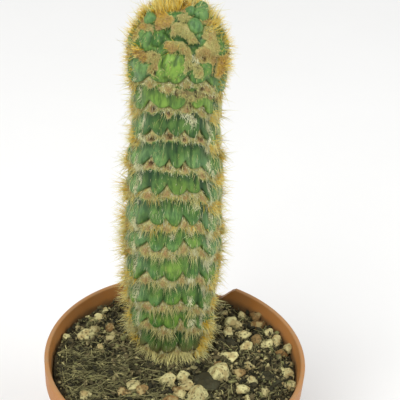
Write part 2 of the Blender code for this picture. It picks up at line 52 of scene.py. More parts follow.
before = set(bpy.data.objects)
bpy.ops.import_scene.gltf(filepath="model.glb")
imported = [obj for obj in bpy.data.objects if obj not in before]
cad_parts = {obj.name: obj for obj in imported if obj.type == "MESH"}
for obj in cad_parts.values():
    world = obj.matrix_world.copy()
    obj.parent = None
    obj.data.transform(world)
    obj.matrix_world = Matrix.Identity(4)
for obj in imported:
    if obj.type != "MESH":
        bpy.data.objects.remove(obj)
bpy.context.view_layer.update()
BODY = "root"
MERGE_DISTANCE = 1e-6
TENTHS = 10000


def in_metres(rows, *places):
    """The rows, with what stands at these places turned from tenths of a millimetre into metres."""
    return [tuple(cell / TENTHS if place in places else cell for place, cell in enumerate(row))
            for row in rows]


# Camera: a photograph of 400 pixels a side, taken from above the front
PHOTO_SIZE = 400
FOCAL_PIXELS = 1300.0
SENSOR_WIDTH = 36.0
CAMERA_PLACE = Vector((0.00678, -0.45921, 0.48349))
CAMERA_PITCH = 0.5869
CAMERA_ROLL = 0.0644

# Pot
POT_HEIGHT = 0.092
RIM_RADIUS = 0.060
LIP_THICKNESS = 0.0021
COLLAR_HEIGHT = 0.012
COLLAR_DRAFT = 0.0004
COLLAR_BREAK = 0.0011
COLLAR_UNDERCUT = 0.0006
WALL = 0.0018
NECK_RADIUS = 0.0576
FOOT_RADIUS = 0.042
FOOT_WIDTH = 0.005
PAD_RADIUS = 0.014
FLOOR_RECESS = 0.002
FLOOR_TOP = 0.004
EDGE_ROUND = 0.0007
POT_STEPS = 180
DRAIN_COUNT = 8
DRAIN_RADIUS = 0.0038
DRAIN_CIRCLE = 0.0255
DRAIN_STEPS = 28
CUT_DEPTH = 0.012
COLLAR_FOOT = POT_HEIGHT - COLLAR_HEIGHT
LIP_POINTS = 9
WALL_PARTS = (0.25, 0.5, 0.75)
SHARP_ANGLE = math.radians(35.0)
# How gradually the edge of a faded or soiled place shows
EDGE_WIDTH = 0.0002

# Break in the rim: its middle from the back towards +X, its reach in from the rim, the way it runs through
# the wall, and its outline as (along the rim, height)
BREAK_ANGLE = 18.0
BREAK_REACH = 0.010
BREAK_WAY = (0.0015, 0.020, 0.0006)
BREAK_CUTS = 3
BREAK_ROUGHNESS = 0.0005
BREAK_GRAIN = 0.0018
BREAK_OUTLINE = in_metres((
    (99, 920), (112, 960), (-110, 960), (-96, 920), (-68, 868), (-35, 848), (2, 836), (30, 850), (72, 898),
), 0, 1)

# Soil
GAP = 0.0003
SOIL_TOP = 0.0820
MOUND_RISE = 0.0030
MOUND_WIDTH = 0.014
CLOD_RISE = 0.0011
CLOD_SIZE = 0.009
STEM_AT_SOIL = 0.0185
SOIL_STEPS = 200
SOIL_RINGS = 84
RUBBLE_RISE = 0.0013
RUBBLE_SIZE = 0.0028
RUBBLE_MIDDLE = 0.4
# The rubble's tone in its middle, and its change. The fine rubble's share and relative size
RUBBLE_TONES = (0.35, 0.3)
FINE_RUBBLE = (0.5, 0.35)

# Stem: a leaning column whose outline is measured at the bottom of its notches, as (height, radius)
STEM_FOOT = Vector((-0.00310, 0.0210, 0.0866))
STEM_LEAN = -0.02050
STEM_OUTLINE = in_metres((
    (640, 90), (700, 128), (790, 158), (880, 172), (980, 179), (1100, 182), (1260, 193), (1420, 200),
    (1580, 193), (1740, 191), (1850, 188), (1960, 174), (2060, 170), (2140, 170), (2220, 181), (2320, 194),
    (2400, 191), (2470, 166), (2520, 128), (2550, 85), (2565, 40), (2569, 0),
), 0, 1)
OUTLINE_STEPS = 12
DRUM_RADIUS = 0.02
DRUM_STEP = 0.003
RIB_ANGLES = (-31.0, -7.5, 14.5, 36.7, 71.0, 98.0, 125.0, 152.0, 179.0, 206.0, 233.0, 260.0, 287.0)
RIB_SHIFTS = (
    -0.0010, 0.0, 0.0022, -0.0005, 0.0, 0.0008, 0.0, -0.0006, 0.0009, 0.0, -0.0008, 0.0006, 0.0,
)
COLUMNS_PER_RIB = 16
ROW_HEIGHTS = (0.0902, 0.1060, 0.1194, 0.1343, 0.1503, 0.1638, 0.1792, 0.1926, 0.2071, 0.2216, 0.2331)
HEAD_STEPS = (0.0116, 0.0098, 0.0070)
FULL_STEP = 0.0144
ROW_TILT = 0.0012
ROW_JITTER = 0.0010
SIDE_DROP = 0.0098
LOWEST_ROW_DROP = 0.6
SIDE_DROP_ANGLES = (26.0, 78.0)
HEAD_HEIGHTS = (0.236, 0.254)
SCALLOP = 0.0046
SCALLOP_POWER = 1.8
SCALLOP_MIDDLE = 0.35
PEAK_CHANGE = (0.50, 1.35)
SCALLOP_CALM = 0.6
CALM_HEIGHTS = (0.208, 0.224)
FELT_ON_CREST = 0.0065
FELT_IN_GROOVE = 0.0017
NOTCH_DEPTH = 0.0003
CHIN_SWELL = 0.0024
SWELL_POWER = 0.7
CHIN_DROP = 0.0005
CHIN_ROUND = 0.78
RIB_RISE = 0.0011
FOOT_HEIGHTS = (0.0640, 0.0690, 0.0745)
RELIEF_HEIGHTS = (0.0865, 0.0915)

# Felt of a row, from its lower edge at 0 to the notch above it at 1
FELT_RINGS = 7
FELT_PUFF = 0.0008
PUFF_FROM_GROOVE = (0.5, 1.9)
PUFF_POWER = 0.6
BAND_THINNING = 0.75
THINNING_POWER = 1.5
THINNING_END = 0.6
FELT_AT_EDGE = 0.55
FELT_FULL = 0.25
NOTCH_SHADE = 0.4
NOTCH_SHADE_FROM = 0.85
WARM_WIDTH = 0.20
WARM_MIDDLE = 0.40
WARM_HEIGHT = 0.30
PALE_EDGES = ((0.80, 0.16), (0.0, 0.10))
PALE_WIDTH = 0.30
PALE_FLANK = (0.27, 0.07)
# The notch ring's felt, and its painted shade under the chins
NOTCH_FELT = 0.6
NOTCH_RING_SHADE = 0.9

# Cells between the rows, from the next row's felt at 0 to the chin at 1
CELL_RINGS = 15
CELL_POWER = 1.3
CELL_FELT = 0.45
CELL_FELT_END = 0.12
CHIN_CURL = 0.8
CLEFT_DEPTH = 0.0013
CLEFT_WIDTH = 0.075
CLEFT_POWER = 0.8
CREST_CLEFT = 0.6
VALLEY_DEPTH = 0.0007
VALLEY_WIDTH = 0.17
CELL_SHADES = {"cleft": 0.9, "crest": 0.7, "valley": 0.5, "roof": 0.5}
ROOF_END = 0.55
# Ranges of what differs from cell to cell
CELL_CHANCES = {"middle": (0.36, 0.64), "depth": (0.25, 1.0), "crest": (0.0, 0.9), "valley": (0.1, 1.7)}

# Fine relief and patches of the skin
WOOL_RISE = 0.0005
WOOL_SIZE = 0.0011
# The finer wool's share and relative size
FINE_WOOL = (0.6, 0.45)
RIDGE_RISE = 0.00022
RIDGE_SIZE = 0.0013
RIDGE_STRETCH = np.array([1.0, 1.0, 0.22])
LUMP_RISE = 0.0004
LUMP_SIZE = 0.009
LUMP_FRESHNESS = 0.75
# How much less fresh the sides are, and the angles that this sets in between
STALE_SIDES = (0.25, 18.0, 55.0)
SHADED_FRONT = 50.0
# How much of a row's shade is even, and how much follows the skin's lumps
LUMP_SHADE = (0.75, 0.8)
# How golden the sides' felt is, and the angles that this sets in between
GOLDEN_SIDES = (0.8, 50.0, 75.0)
SEAM_ANGLES = (-52.0, 54.0)
SEAM_WIDTH = 0.0013
SEAM_DEPTH = 0.0009
SEAM_PATCH = 0.005
SEAM_PATCHES = (-0.25, 0.35)
WEB_STRENGTH = 0.8
AGED_HEIGHTS = (0.089, 0.099)
AGED_RAGGED = 0.003

# Head: it grew unevenly at the front, between these angles and above this row
FIRST_HEAD_ROW = 10
HEAD_ANGLES = (62.0, 78.0)
HEAD_FADE = (0.0010, 0.0040)
HEAD_BASE = 0.0007
HEAD_FRESH = 0.4
HEAD_FELT = 0.25
HEAD_WARP = 0.0013
# The noise that bends the head's shapes, as (size, seed): two coarse, then two fine
HEAD_WARPS = ((0.0042, 7.0), (0.0042, 8.0), (0.0016, 9.0), (0.0016, 10.0))
HEAD_GIRTH = 0.018
CROWN_FELT_RUNS = (0.1985, 0.2025)
CROWN_GOLD = 0.9
# Where a pad's felt starts to thin and where it ends, in shares of its half sides
PAD_EDGE = (0.65, 1.25)
PAD_RISE = 0.0014
BAND_PAD_RISE = 0.0022
BAND_PAD_WARMTH = 0.3
CUT_SHADE = 0.75
CUT_BARE = 0.9
SMALLEST_GIRTH = 0.004
# Pads of felt that hang from the head's lowest row: angle, run, half width, half height
BAND_PADS = in_metres((
    (2, 1674, 30, 18), (12, 1668, 26, 16), (21, 1655, 34, 24), (32, 1662, 36, 26), (-14, 1676, 34, 16),
    (46, 1640, 22, 40),
), 1, 2, 3)
# Green lobes: angle, run, half width, half height, rise, and how fresh a green, from blue at 0 to yellow at 1
HEAD_LOBES = in_metres((
    (-47, 1730, 56, 52, 22, 0.15), (-6, 1768, 62, 66, 26, 1), (-15, 1742, 44, 36, 20, 0.9),
    (35, 1755, 34, 40, 21, 0.5), (-46, 1862, 36, 36, 18, 0.25), (-26, 1880, 40, 36, 20, 0.5),
    (-12, 1880, 34, 32, 16, 0.4), (-7, 1985, 34, 34, 16, 0.35), (67, 1815, 46, 48, 22, 0.45),
    (-70, 1800, 40, 50, 18, 0.4), (31, 1885, 34, 26, 6, 0.2), (8, 1752, 34, 34, 17, 0.55),
), 1, 2, 3, 4)
# Pads of felt: angle, run, half width, half height, and how golden
HEAD_PADS = in_metres((
    (-27, 1806, 30, 24, 0.3), (-24, 1768, 22, 30, 0.2), (-26.5, 1728, 24, 22, 0.3),
    (-49, 1800, 56, 22, 0.8), (-6.4, 1850, 28, 24, 0.6), (2, 1862, 46, 20, 0.2), (8.5, 1842, 26, 18, 0.3),
    (14, 1792, 21, 44, 0.1), (24, 1762, 20, 34, 0.1), (19, 1735, 42, 12, 0.4), (35, 1822, 46, 34, 0.4),
    (59, 1748, 60, 52, 0.9), (3.5, 1925, 36, 24, 0.2), (11, 1902, 34, 22, 0.1), (19, 1884, 28, 16, 0.1),
    (20, 1866, 42, 14, 0.2), (54, 1890, 42, 28, 0.2), (50.5, 1845, 28, 40, 0.3), (64, 1937, 34, 26, 0.4),
    (78, 1930, 42, 34, 0.9), (-69, 1845, 38, 26, 0.5), (-68, 1890, 48, 26, 0.7), (-28, 1945, 34, 34, 0.7),
    (-52, 1900, 40, 20, 0.3), (36, 2000, 34, 26, 0.2), (66, 1985, 34, 24, 0.2), (14, 1965, 34, 20, 0.1),
    (44, 1945, 36, 20, 0.2), (-46, 1965, 40, 26, 0.9), (48, 1790, 26, 22, 0.5),
), 1, 2, 3)
# Clefts: runs of (angle, run), then the half width and the depth
HEAD_CLEFTS = (
    (((-17.0, 0.1905), (-5.0, 0.1899), (3.3, 0.1893), (10.0, 0.1876)), 0.0009, 0.0014),
    (((10.0, 0.1873), (15.0, 0.1856), (21.1, 0.1850), (28.0, 0.1857)), 0.0006, 0.0018),
    (((-12.5, 0.1822), (-13.5, 0.1770)), 0.0007, 0.0014), (((1.5, 0.1825), (2.0, 0.1785)), 0.0006, 0.0008),
    (((52.0, 0.1785), (45.0, 0.1720)), 0.0007, 0.0015), (((-38.5, 0.1895), (-38.0, 0.1850)), 0.0006, 0.0014),
    (((77.0, 0.1848), (77.0, 0.1780)), 0.0006, 0.0014), (((-19.0, 0.1890), (-19.0, 0.1862)), 0.0005, 0.0009),
    (((-57.0, 0.1765), (-57.0, 0.1720)), 0.0006, 0.0009), (((26.5, 0.1890), (32.0, 0.1868)), 0.0010, 0.0012),
)
# Eyes: the dark pits in the felt, as angle, run, radius
HEAD_EYES = in_metres((
    (-22.2, 1749, 9), (14, 1776, 6), (24, 1775, 6), (35.2, 1808, 9), (17.8, 1690, 7), (31.7, 1682, 8),
    (25.2, 1656, 7), (33, 1862, 6), (29, 1880, 6), (36, 1880, 5), (2, 1950, 5), (-40, 1796, 5),
), 1, 2)
AREOLE_EYE = 0.0008
EYES_PER_AREOLE = 2
EYE_HEIGHT = 0.6
# In degrees aside and metres along
EYE_SCATTER = (4.0, 0.001)
EYE_SIZES = (0.6, 1.3)
EYE_DARKNESS = 1.6
EYE_DEPTH = 1.2
EYED_ROWS = (7, 8, 9)
# How much fresher, and how much darker, the lobes above some rows are
ROW_FRESHNESS = ((9, 0.60), (8, -0.06), (7, -0.06), (3, 0.15), (2, 0.10), (1, -0.05), (0, -0.30))
ROW_SHADE = ((8, 0.45), (7, 0.42), (6, 0.28), (5, 0.12), (4, 0.05), (1, 0.10), (0, 0.40))
# Uneven growth that sways the lobes: its reach and size, for each of two scales
SWAYS = ((0.0013, 0.0085), (0.0004, 0.0030))
SWAY_SEEDS = (21.0, 22.0)
SWAY_INNER = 0.006

# White webs of old wool: angle, run, radius
WEBS = in_metres((
    (1, 958, 12), (26.7, 972, 20), (29, 850, 20), (2.6, 851, 14), (55, 892, 16), (23.6, 718, 16),
    (1, 691, 12), (26.3, 597, 14), (29.8, 466, 14), (-45.7, 1266, 14), (-47, 1194, 16), (-53, 1069, 14),
    (47.5, 1284, 14), (52, 1176, 16), (52, 1069, 14), (30, 1095, 12), (14, 1560, 14), (21, 1535, 16),
    (26, 1510, 14), (-28.6, 851, 10), (-44, 918, 16), (46.7, 785, 14), (-50, 745, 14), (49, 638, 16),
    (-49, 1400, 16), (50, 1400, 16), (21.5, 1815, 14), (-52, 620, 12),
), 1, 2)
# Hairs: lengths, radii, how far out, aside and down they go, their tones, and whether gold felt gilds them
FELT_HAIR = ((0.0007, 0.0021), (0.00010, 0.00016), (0.8, 1.2), 0.6, (-0.3, 1.0), (0.14, 0.36), 1.0)
WEB_HAIR = ((0.0010, 0.0030), (0.00009, 0.00016), (0.2, 0.7), 0.6, (0.2, 1.2), (0.0, 0.16), 0.0)
VEIL_HAIR = ((0.0016, 0.0042), (0.00006, 0.00010), (0.05, 0.50), 0.25, (0.9, 1.1), (0.06, 0.30), 0.0)
HAIRS_PER_BATCH = 100
HAIR_LIFT = 0.0002
# Sideways and upwards
HAIR_SCATTER = (0.0003, 0.0002)
HAIR_SAG = 0.3
HAIR_CURL = 0.15
HAIR_WARMTH = 0.3
HAIR_PALENESS = 0.2
GILDED_TONES = (0.6, 1.0)
VEIL_ANGLES = (42.0, 60.0, 112.0, 128.0)
# The front's veil, on the crests and in the grooves
FRONT_VEIL = (0.06, 0.30)
VEIL_HEIGHTS = (0.088, 0.094, 0.214, 0.224)

# Round growths on the head: angle, run back from the crown, radius
GROWTHS = in_metres((
    (32.5, 126, 32), (-60, 128, 26), (92, 85, 30), (158, 150, 33), (-140, 110, 30), (64, 94, 34),
    (44, 66, 26),
), 1, 2)
GROWTH_SUNK = 0.25
# Rise and scale
GROWTH_LUMPS = (0.24, 1.9)
GROWTH_FRESH = 0.18
GROWTH_SHADE = 0.08

# Spines: hanging combs at the front, longest low down, and golden heads round the sides. Lengths are shares
# of the longest, and a toss is how far out, aside and up a spine points
SPINE_RADIUS = 0.00020
SPINE_LIFT = 0.0006
SPINE_FLOOR = 0.0853
LOWEST_AREOLE = 0.0845
AREOLE_HEIGHT = 0.55
SIDE_FROM = 44.0
SMALLEST_FAN = 0.6
FAN_GIRTH = 0.02
# Along the run, and aside at a girth
SIDE_FAN_REACH = (0.0026, 0.0022)
SIDE_FRESH_HEIGHTS = (0.084, 0.110)
SEEN_SIDES = (50.0, 112.0)
SEEN_SHARE = 0.35
SIDE_SAG = 0.1
SIDE_FAN = {
    "toss": ((0.35, 1.0), (-0.9, 0.9), (-0.9, 0.65)), "radii": (0.7, 1.1), "long_every": 6,
    "long": (0.70, 1.10), "long_tones": (0.0, 0.5), "short": (0.30, 0.62), "short_tones": (0.32, 0.95),
}
SIDE_TUFT = {
    "toss": ((0.5, 1.0), (-0.8, 0.8), (-1.0, 0.5)), "radii": (0.7, 1.15), "long_every": 7,
    "long": (0.65, 1.05), "long_tones": (0.10, 0.45), "short": (0.26, 0.58), "short_tones": (0.55, 1.0),
}
COMB_LOW_HEIGHTS = (0.168, 0.200)
COMB_LOWEST_HEIGHTS = (0.095, 0.130)
# Of the upper rows, of the low ones, and how much more at the very foot
COMB_COUNTS = (10, 33, 18)
# Along the run, and aside at a girth
COMB_REACH = (0.0022, 0.0040)
COMB_RUNS = (-1.0, 0.6)
COMB_OUT = (0.15, 0.60)
# How much a comb's spines spread aside in order, and at random
COMB_ASIDE = (0.55, 0.25)
COMB_LENGTHS = (0.26, 0.64, 0.12)
COMB_UNEVEN = (0.5, 1.15)
COMB_RADII = (0.5, 0.85)
COMB_TONES = (0.12, 0.55)
COMB_SAG = 0.05
GOLDEN_COMB_ROWS = (5, 6)
GOLDEN_COMB_TONES = (0.35, 0.85)
SKIRT_LENGTH = 0.30
# Tufts of the head: angle, run, half their count
HEAD_TUFTS = in_metres((
    (-66, 1965, 26), (-48, 1985, 24), (-28, 2005, 18), (-92, 1905, 24), (-80, 1850, 20), (66, 1745, 32),
    (80, 1900, 14), (92, 1935, 8), (120, 1960, 12), (-120, 1965, 22), (150, 1970, 22), (180, 1975, 24),
    (-150, 1970, 22), (-49, 1803, 12), (60, 1905, 14), (0, 2045, 26), (120, 2030, 9), (-120, 2030, 20),
    (-6.4, 1852, 5), (78, 1815, 18),
), 1)
TUFT_SPREAD = 0.0028
# Out, up, and how much both vary
TUFT_TOSS = (1.0, 0.25, 0.42)
TUFT_LENGTHS = (0.35, 0.80)
TUFT_RADII = (0.7, 1.1)
TUFT_TONES = (0.5, 1.0)
CROWN_MARGIN = 0.0002
# Golden tufts at the sides: angle, run, count
SIDE_TUFTS = in_metres((
    (-80, 1495, 60), (-68, 1380, 60), (-85, 1215, 90), (-85, 1040, 110), (-85, 900, 60), (-92, 850, 110),
    (-88, 725, 100), (-60, 665, 60), (-88, 580, 110), (-86, 490, 80), (60, 1520, 50), (62, 1375, 60),
    (94, 1256, 80), (70, 1185, 90), (70, 1040, 90), (57, 1070, 40), (94, 865, 110), (98, 690, 110),
    (62, 640, 60), (69, 680, 60), (70, 515, 80), (62, 390, 150), (-70, 390, 60), (60, 310, 150),
    (50, 265, 120), (76, 340, 80), (-62, 300, 60),
), 1)
# Along the run and aside
SIDE_SPREAD = (0.0013, 0.0015)
# Fringes: angles, runs, count, upward toss, lengths in metres, tones. Below the head they keep to the rows
FRINGE_HEAD = 0.162
FRINGE_SPREAD = 0.0016
FRINGE_OUT = (0.5, 1.0)
FRINGE_ASIDE = (-0.6, 0.6)
FRINGE_UP = (-0.5, 0.5)
FRINGE_RADII = (0.6, 1.0)
FRINGES = (
    ((-115.0, -60.0), (0.160, 0.202), 620, 0.1, (0.0022, 0.0055), (0.35, 1.0)),
    ((60.0, 115.0), (0.160, 0.202), 430, 0.1, (0.0022, 0.0055), (0.30, 0.95)),
    ((115.0, 245.0), (0.160, 0.202), 420, 0.1, (0.0020, 0.0050), (0.45, 1.0)),
    ((-74.0, -56.0), (0.090, 0.166), 180, -1.0, (0.0020, 0.0050), (0.20, 0.8)),
    ((56.0, 72.0), (0.090, 0.166), 150, -1.0, (0.0020, 0.0050), (0.20, 0.8)),
    ((-112.0, -66.0), (0.036, 0.162), 400, -0.1, (0.0025, 0.0070), (0.10, 0.8)),
    ((78.0, 112.0), (0.036, 0.162), 160, -0.1, (0.0025, 0.0060), (0.10, 0.8)),
    ((-114.0, -76.0), (0.036, 0.112), 420, -0.1, (0.0055, 0.0105), (0.25, 1.0)),
    ((-114.0, -84.0), (0.112, 0.160), 70, -0.1, (0.0050, 0.0085), (0.30, 1.0)),
    ((86.0, 114.0), (0.062, 0.104), 90, -0.1, (0.0055, 0.0095), (0.30, 0.9)),
    ((-78.0, -52.0), (0.024, 0.040), 160, -0.4, (0.0030, 0.0070), (0.00, 0.4)),
)

# Stones too small for the part's own nodes: kind, x, y, length, width, height, turn in degrees
CHIPS = in_metres((
    ("pumice", -412, 293, 24, 22, 20, 10), ("pumice", -394, 212, 44, 40, 36, 40),
    ("pumice", -318, 172, 40, 36, 34, 15), ("lava", -435, 55, 40, 36, 30, 70),
    ("pumice", 222, 425, 40, 34, 32, 20), ("pumice", 290, 330, 52, 40, 38, 35),
    ("pumice", 309, 420, 34, 32, 30, 5), ("lapilli", 375, 400, 58, 44, 40, 60),
    ("pumice", 440, 272, 44, 40, 36, 25), ("lapilli", 382, 222, 56, 42, 38, 50),
    ("pumice", 430, 192, 44, 40, 38, 15), ("pumice", 472, 222, 50, 42, 40, 75),
    ("pumice", 532, 172, 42, 40, 42, 30), ("pumice", 344, 40, 40, 36, 34, 0),
    ("lapilli", 300, -20, 44, 42, 36, 45), ("pumice", 536, -85, 36, 44, 36, 10),
    ("pumice", 348, -185, 44, 36, 32, 80), ("pumice", 419, -144, 36, 34, 36, 20),
    ("lava", 472, -92, 40, 36, 30, 50), ("pumice", -28, -90, 60, 56, 44, 12),
    ("pumice", 68, -128, 64, 52, 46, 65), ("lapilli", 0, -240, 70, 56, 46, 35),
    ("pumice", 36, -178, 56, 46, 44, 80), ("pumice", -186, -150, 62, 52, 44, 55),
    ("lapilli", -138, -172, 52, 50, 40, 5), ("pumice", -393, -233, 48, 36, 32, 25),
    ("lava", 150, -98, 92, 86, 56, 30), ("lava", 205, 180, 44, 42, 36, 70),
    ("lapilli", 203, 25, 36, 40, 36, 10), ("pumice", 362, -60, 42, 36, 32, 40),
    ("lapilli", -222, -190, 50, 44, 36, 20), ("lava", 420, -30, 60, 48, 30, 60),
    ("pumice", 242, 262, 50, 42, 40, 30),
), 1, 2, 3, 4, 5)
CHIP_FULLNESS = 1.48
CHIP_SUNK = 0.30
CHIP_ROUGHNESS = 0.16
CHIP_SEED = 3
# Soil splashed up the pot's inner wall, which lies within a radius
INNER_REACH = 0.0585
SPLASH_HEIGHT = 0.0040

# Crumbs: sizes of small and large ones, how flat they are, and how their colour changes with their tone
CRUMBS_PER_BATCH = 80
CRUMB_SIZES = (0.0009, 0.0024)
LARGE_CRUMB_SIZES = (0.0022, 0.0042)
LARGE_CRUMB_EVERY = 6
CRUMB_SHAPE = ((0.4, 0.9), (0.2, 0.6))
CRUMB_SUNK = 0.15
CRUMB_HEAP = 0.0018
CRUMB_ROUGHNESS = 0.5
CRUMB_MARGIN = 0.0010
EARTH_PATCH = 0.0062
# The stretch of the earthy patches, and the height of the noise that they are cut from
EARTH_STRETCH = (1.3, 0.31)
EARTH_CHANGE = 0.45
CRUMB_TONES = (
    (0.50, 0.75, (0.200, 0.190, 0.080)), (0.78, 0.90, (0.420, 0.350, 0.160)),
    (0.94, 0.97, (0.290, 0.290, 0.110)),
)

# Fibres: most lie at the front left, in patches, and a few short stalks are thicker
FIBRES_PER_BATCH = 60
FIBROUS_LEFT = (0.012, -0.022)
FIBROUS_FRONT = (0.016, -0.006)
FIBRE_PATCH = 0.0075
FIBRE_STRETCH = 1.6
FIBRE_PATCHES = (-0.35, 0.20)
FIBRE_ANYWHERE = 0.20
FIBRE_COMBED = 0.4
FIBRE_TURNS = (0.15, 0.65)
FIBRE_SLOPES = (-0.12, 0.22)
# The shortest, and how much longer the longest are
FIBRE_LENGTHS = (0.0035, 0.0090)
FIBRE_POWER = 1.4
# From the pot's wall: a fibre's middle, and its ends
FIBRE_MARGINS = (0.0030, 0.0012)
FIBRE_HEIGHTS = (0.0004, 0.0027)
FIBRE_BENDS = (-0.25, 0.25)
FIBRE_SAG = 0.1
FIBRE_AT_WALL = 0.4
FIBRE_RADII = (0.00010, 0.00028)
FIBRE_TONE_PATCHES = (-0.45, 0.30)
STALK_EVERY = 30
# A stalk's length and thickness, in those of a fibre
STALK_SHAPE = (0.35, 2.4)

# Grit and stones
GRIT_PER_BATCH = 60
# The smallest, and how much larger the largest are
GRIT_SIZES = (0.0012, 0.0024)
GRIT_POWER = 2.2
GRIT_SHAPE = ((0.6, 1.0), (0.5, 0.9))
GRIT_SUNK = 0.30
GRIT_ROUGHNESS = 0.3
GRIT_MARGIN = 0.0016
# The shares left out among the fibres and on the left
GRIT_KEPT_OFF = (0.85, 0.45)
STEM_CLEAR = 0.0200
BANK_RISE = 0.0020
BANK_REACH = (0.030, 0.050)
ROCK_SHAPES = 12
CHIP_SHAPES = 8
FACETS = 10
FACET_BITE = (0.16, 0.48)
STONE_BITE = (0.22, 0.46)
STONE_FULLNESS = 1.12
# Lumps: rise, scale, and the spread of their seeds. Grain: rise and size. Cuts: of fine and coarse meshes
STONE_LUMPS = (0.10, 1.6, 0.01)
STONE_GRAIN = (0.00016, 0.0009)
STONE_CUTS = (3, 6)
FINE_STONE_FACES = 40

# Colours that no setting changes
DEEP_GREEN = (0.010, 0.060, 0.014)
SUNLIT_GREEN = (0.30, 0.42, 0.08)
STREAK_GREEN = (0.006, 0.036, 0.008)
SHADED_GREEN = (0.006, 0.030, 0.007)
WAX = (0.50, 0.52, 0.36)
OLD_SKIN = ((0.070, 0.050, 0.020), (0.19, 0.13, 0.05))
PALE_FELT = (0.640, 0.600, 0.290)
RUSTY_FELT = (0.46, 0.27, 0.115)
OLIVE_FELT = (0.30, 0.31, 0.090)
WARM_FELT = (0.50, 0.290, 0.120)
HEAD_FELT_OLIVE = (0.40, 0.44, 0.17)
GOLDEN_FELT = (0.56, 0.33, 0.035)
FELT_EDGE = (0.66, 0.63, 0.24)
FELT_PORES = (0.05, 0.030, 0.012)
SHADED_FELT = (0.032, 0.016, 0.006)
AGED_SPINE = ((0.30, 0.22, 0.10), (0.14, 0.11, 0.07))
SPINE_TIPS = ((0.82, 0.79, 0.38), (0.96, 0.84, 0.26))
SPINE_FOOT = (0.48, 0.24, 0.04)
WHITE_WOOL = (0.92, 0.92, 0.62)
WOOL_TONES = (
    (0.05, 0.25, (0.62, 0.60, 0.21)), (0.30, 0.60, (0.58, 0.38, 0.16)), (0.65, 1.0, (0.82, 0.56, 0.08)),
)
WOOL_FOOT = (0.25, 0.20, 0.08)
POT_DUST = (0.30, 0.24, 0.15)
POT_STAIN = (0.110, 0.075, 0.035)
SOIL_DUST = (0.34, 0.28, 0.18)
SOIL_PORES = (0.01, 0.008, 0.005)
CRUMB_PORES = (0.012, 0.010, 0.005)
DARK_FIBRE = (0.034, 0.032, 0.015)
FIBRE_PORES = (0.05, 0.05, 0.02)
STONE_PORES = (0.09, 0.07, 0.03)
# Soil and painted shade on the stones' undersides
STONE_SOIL_AND_SHADE = (0.085, 0.060, 0.028)
STONE_PITS = (0.06, 0.045, 0.02)
FLOOR_GREY = (0.5, 0.5, 0.5)
# Kinds of stone: their second colour, their stains and how strong those are, and how deep their pits are
STONE_LOOKS = {
    "pumice": ((0.42, 0.345, 0.160), (0.33, 0.225, 0.085), 0.65, 0.65),
    "lapilli": ((0.28, 0.205, 0.085), (0.44, 0.36, 0.16), 0.7, 0.6),
    "lava": ((0.034, 0.036, 0.020), (0.07, 0.07, 0.04), 0.6, 0.4),
}

# The seed and the noise, as (share, scale), of a rough lump
LUMP_SEED = Vector((1.7, 3.1, 0.7))
LUMP_NOISE = ((1.0, 2.6), (0.4, 6.5))

# Stage: lights as (name, place, size, share of the key light's power), all aimed at the plant's middle
LIGHTS = (("key_light", (-0.7, -1.0, 1.5), 1.2, 1.0), ("fill_light", (1.1, -0.5, 0.9), 1.0, 0.35))
LIT_MIDDLE = Vector((0.0, 0.0, 0.15))
FLOOR_RADIUS = 3.0
FLOOR_STEPS = 64


def blend(a, b, part):
    return a + (b - a) * part


def smoothstep(low, high, value):
    part = np.clip((value - low) / (high - low), 0.0, 1.0)
    return part * part * (3.0 - 2.0 * part)


def clamped(value):
    return min(1.0, max(0.0, value))


def bell(value, width):
    """1 at the middle, falling to nothing past the width."""
    return np.exp(-(value / width) ** 2)


def settings_colour(default, name, description):
    """A colour that a user may change."""
    return FloatVectorProperty(name=name, description=description, subtype="COLOR", size=3, min=0.0, max=1.0,
                               default=default)


def settings_count(default, name, description):
    """A number of small things that a user may change."""
    return IntProperty(name=name, description=description, default=default, min=0)


class PlantSettings(bpy.types.PropertyGroup):
    skin: settings_colour((0.066, 0.172, 0.026), "Skin", "The green of most of the stem's lobes")
    young_skin: settings_colour((0.165, 0.300, 0.035), "Young skin", "The yellow-green of the freshest lobes")
    bloomed_skin: settings_colour((0.140, 0.285, 0.100), "Bloomed skin", "The green of lobes under a bloom")
    felt: settings_colour((0.420, 0.400, 0.130), "Felt", "The tan of the felt round the areoles")
    gold: settings_colour((0.800, 0.510, 0.030), "Gold", "The colour of the densest spines")
    straw: settings_colour((0.720, 0.660, 0.270), "Straw", "The colour of the old, hanging spines")
    spine_length: FloatProperty(name="Spine length", description="Length of the longest common spines",
                                default=0.0098, min=0.002, max=0.03, unit="LENGTH")
    spines_per_areole: settings_count(36, "Spines per areole", "Spines in a full fan at the sides")
    felt_hairs: settings_count(20000, "Felt hairs", "Hairs that stand out of the felt")
    web_hairs: settings_count(3000, "Web hairs", "Pale hairs in the seams and the webs")
    veil_hairs: settings_count(8000, "Veil hairs", "Fine hairs that hang down the stem")


class PotSettings(bpy.types.PropertyGroup):
    plastic: settings_colour((0.410, 0.165, 0.038), "Plastic", "The colour of the pot's plastic")
    # This colour is also the painted highlight along the rim's top
    faded_and_highlight: settings_colour((0.420, 0.200, 0.070), "Bleached plastic", "The plastic that light has faded")


class MixSettings(bpy.types.PropertyGroup):
    earth: settings_colour((0.034, 0.032, 0.015), "Earth", "The darkest of the fine mix")
    bark: settings_colour((0.140, 0.112, 0.050), "Bark", "The brown crumbs of the mix")
    fibre: settings_colour((0.600, 0.550, 0.235), "Fibre", "The dry roots and coir fibres")
    pumice: settings_colour((0.660, 0.610, 0.290), "Pumice", "The cream stones")
    lapilli: settings_colour((0.270, 0.155, 0.055), "Lapilli", "The orange and brown stones")
    lava: settings_colour((0.026, 0.028, 0.018), "Lava", "The dark stones")
    crumb_count: settings_count(4400, "Crumbs", "Crumbs of bark and earth")
    fibre_count: settings_count(2500, "Fibres", "Loose fibres on the mix")
    grit_count: settings_count(460, "Grit", "Small stones without a place of their own")


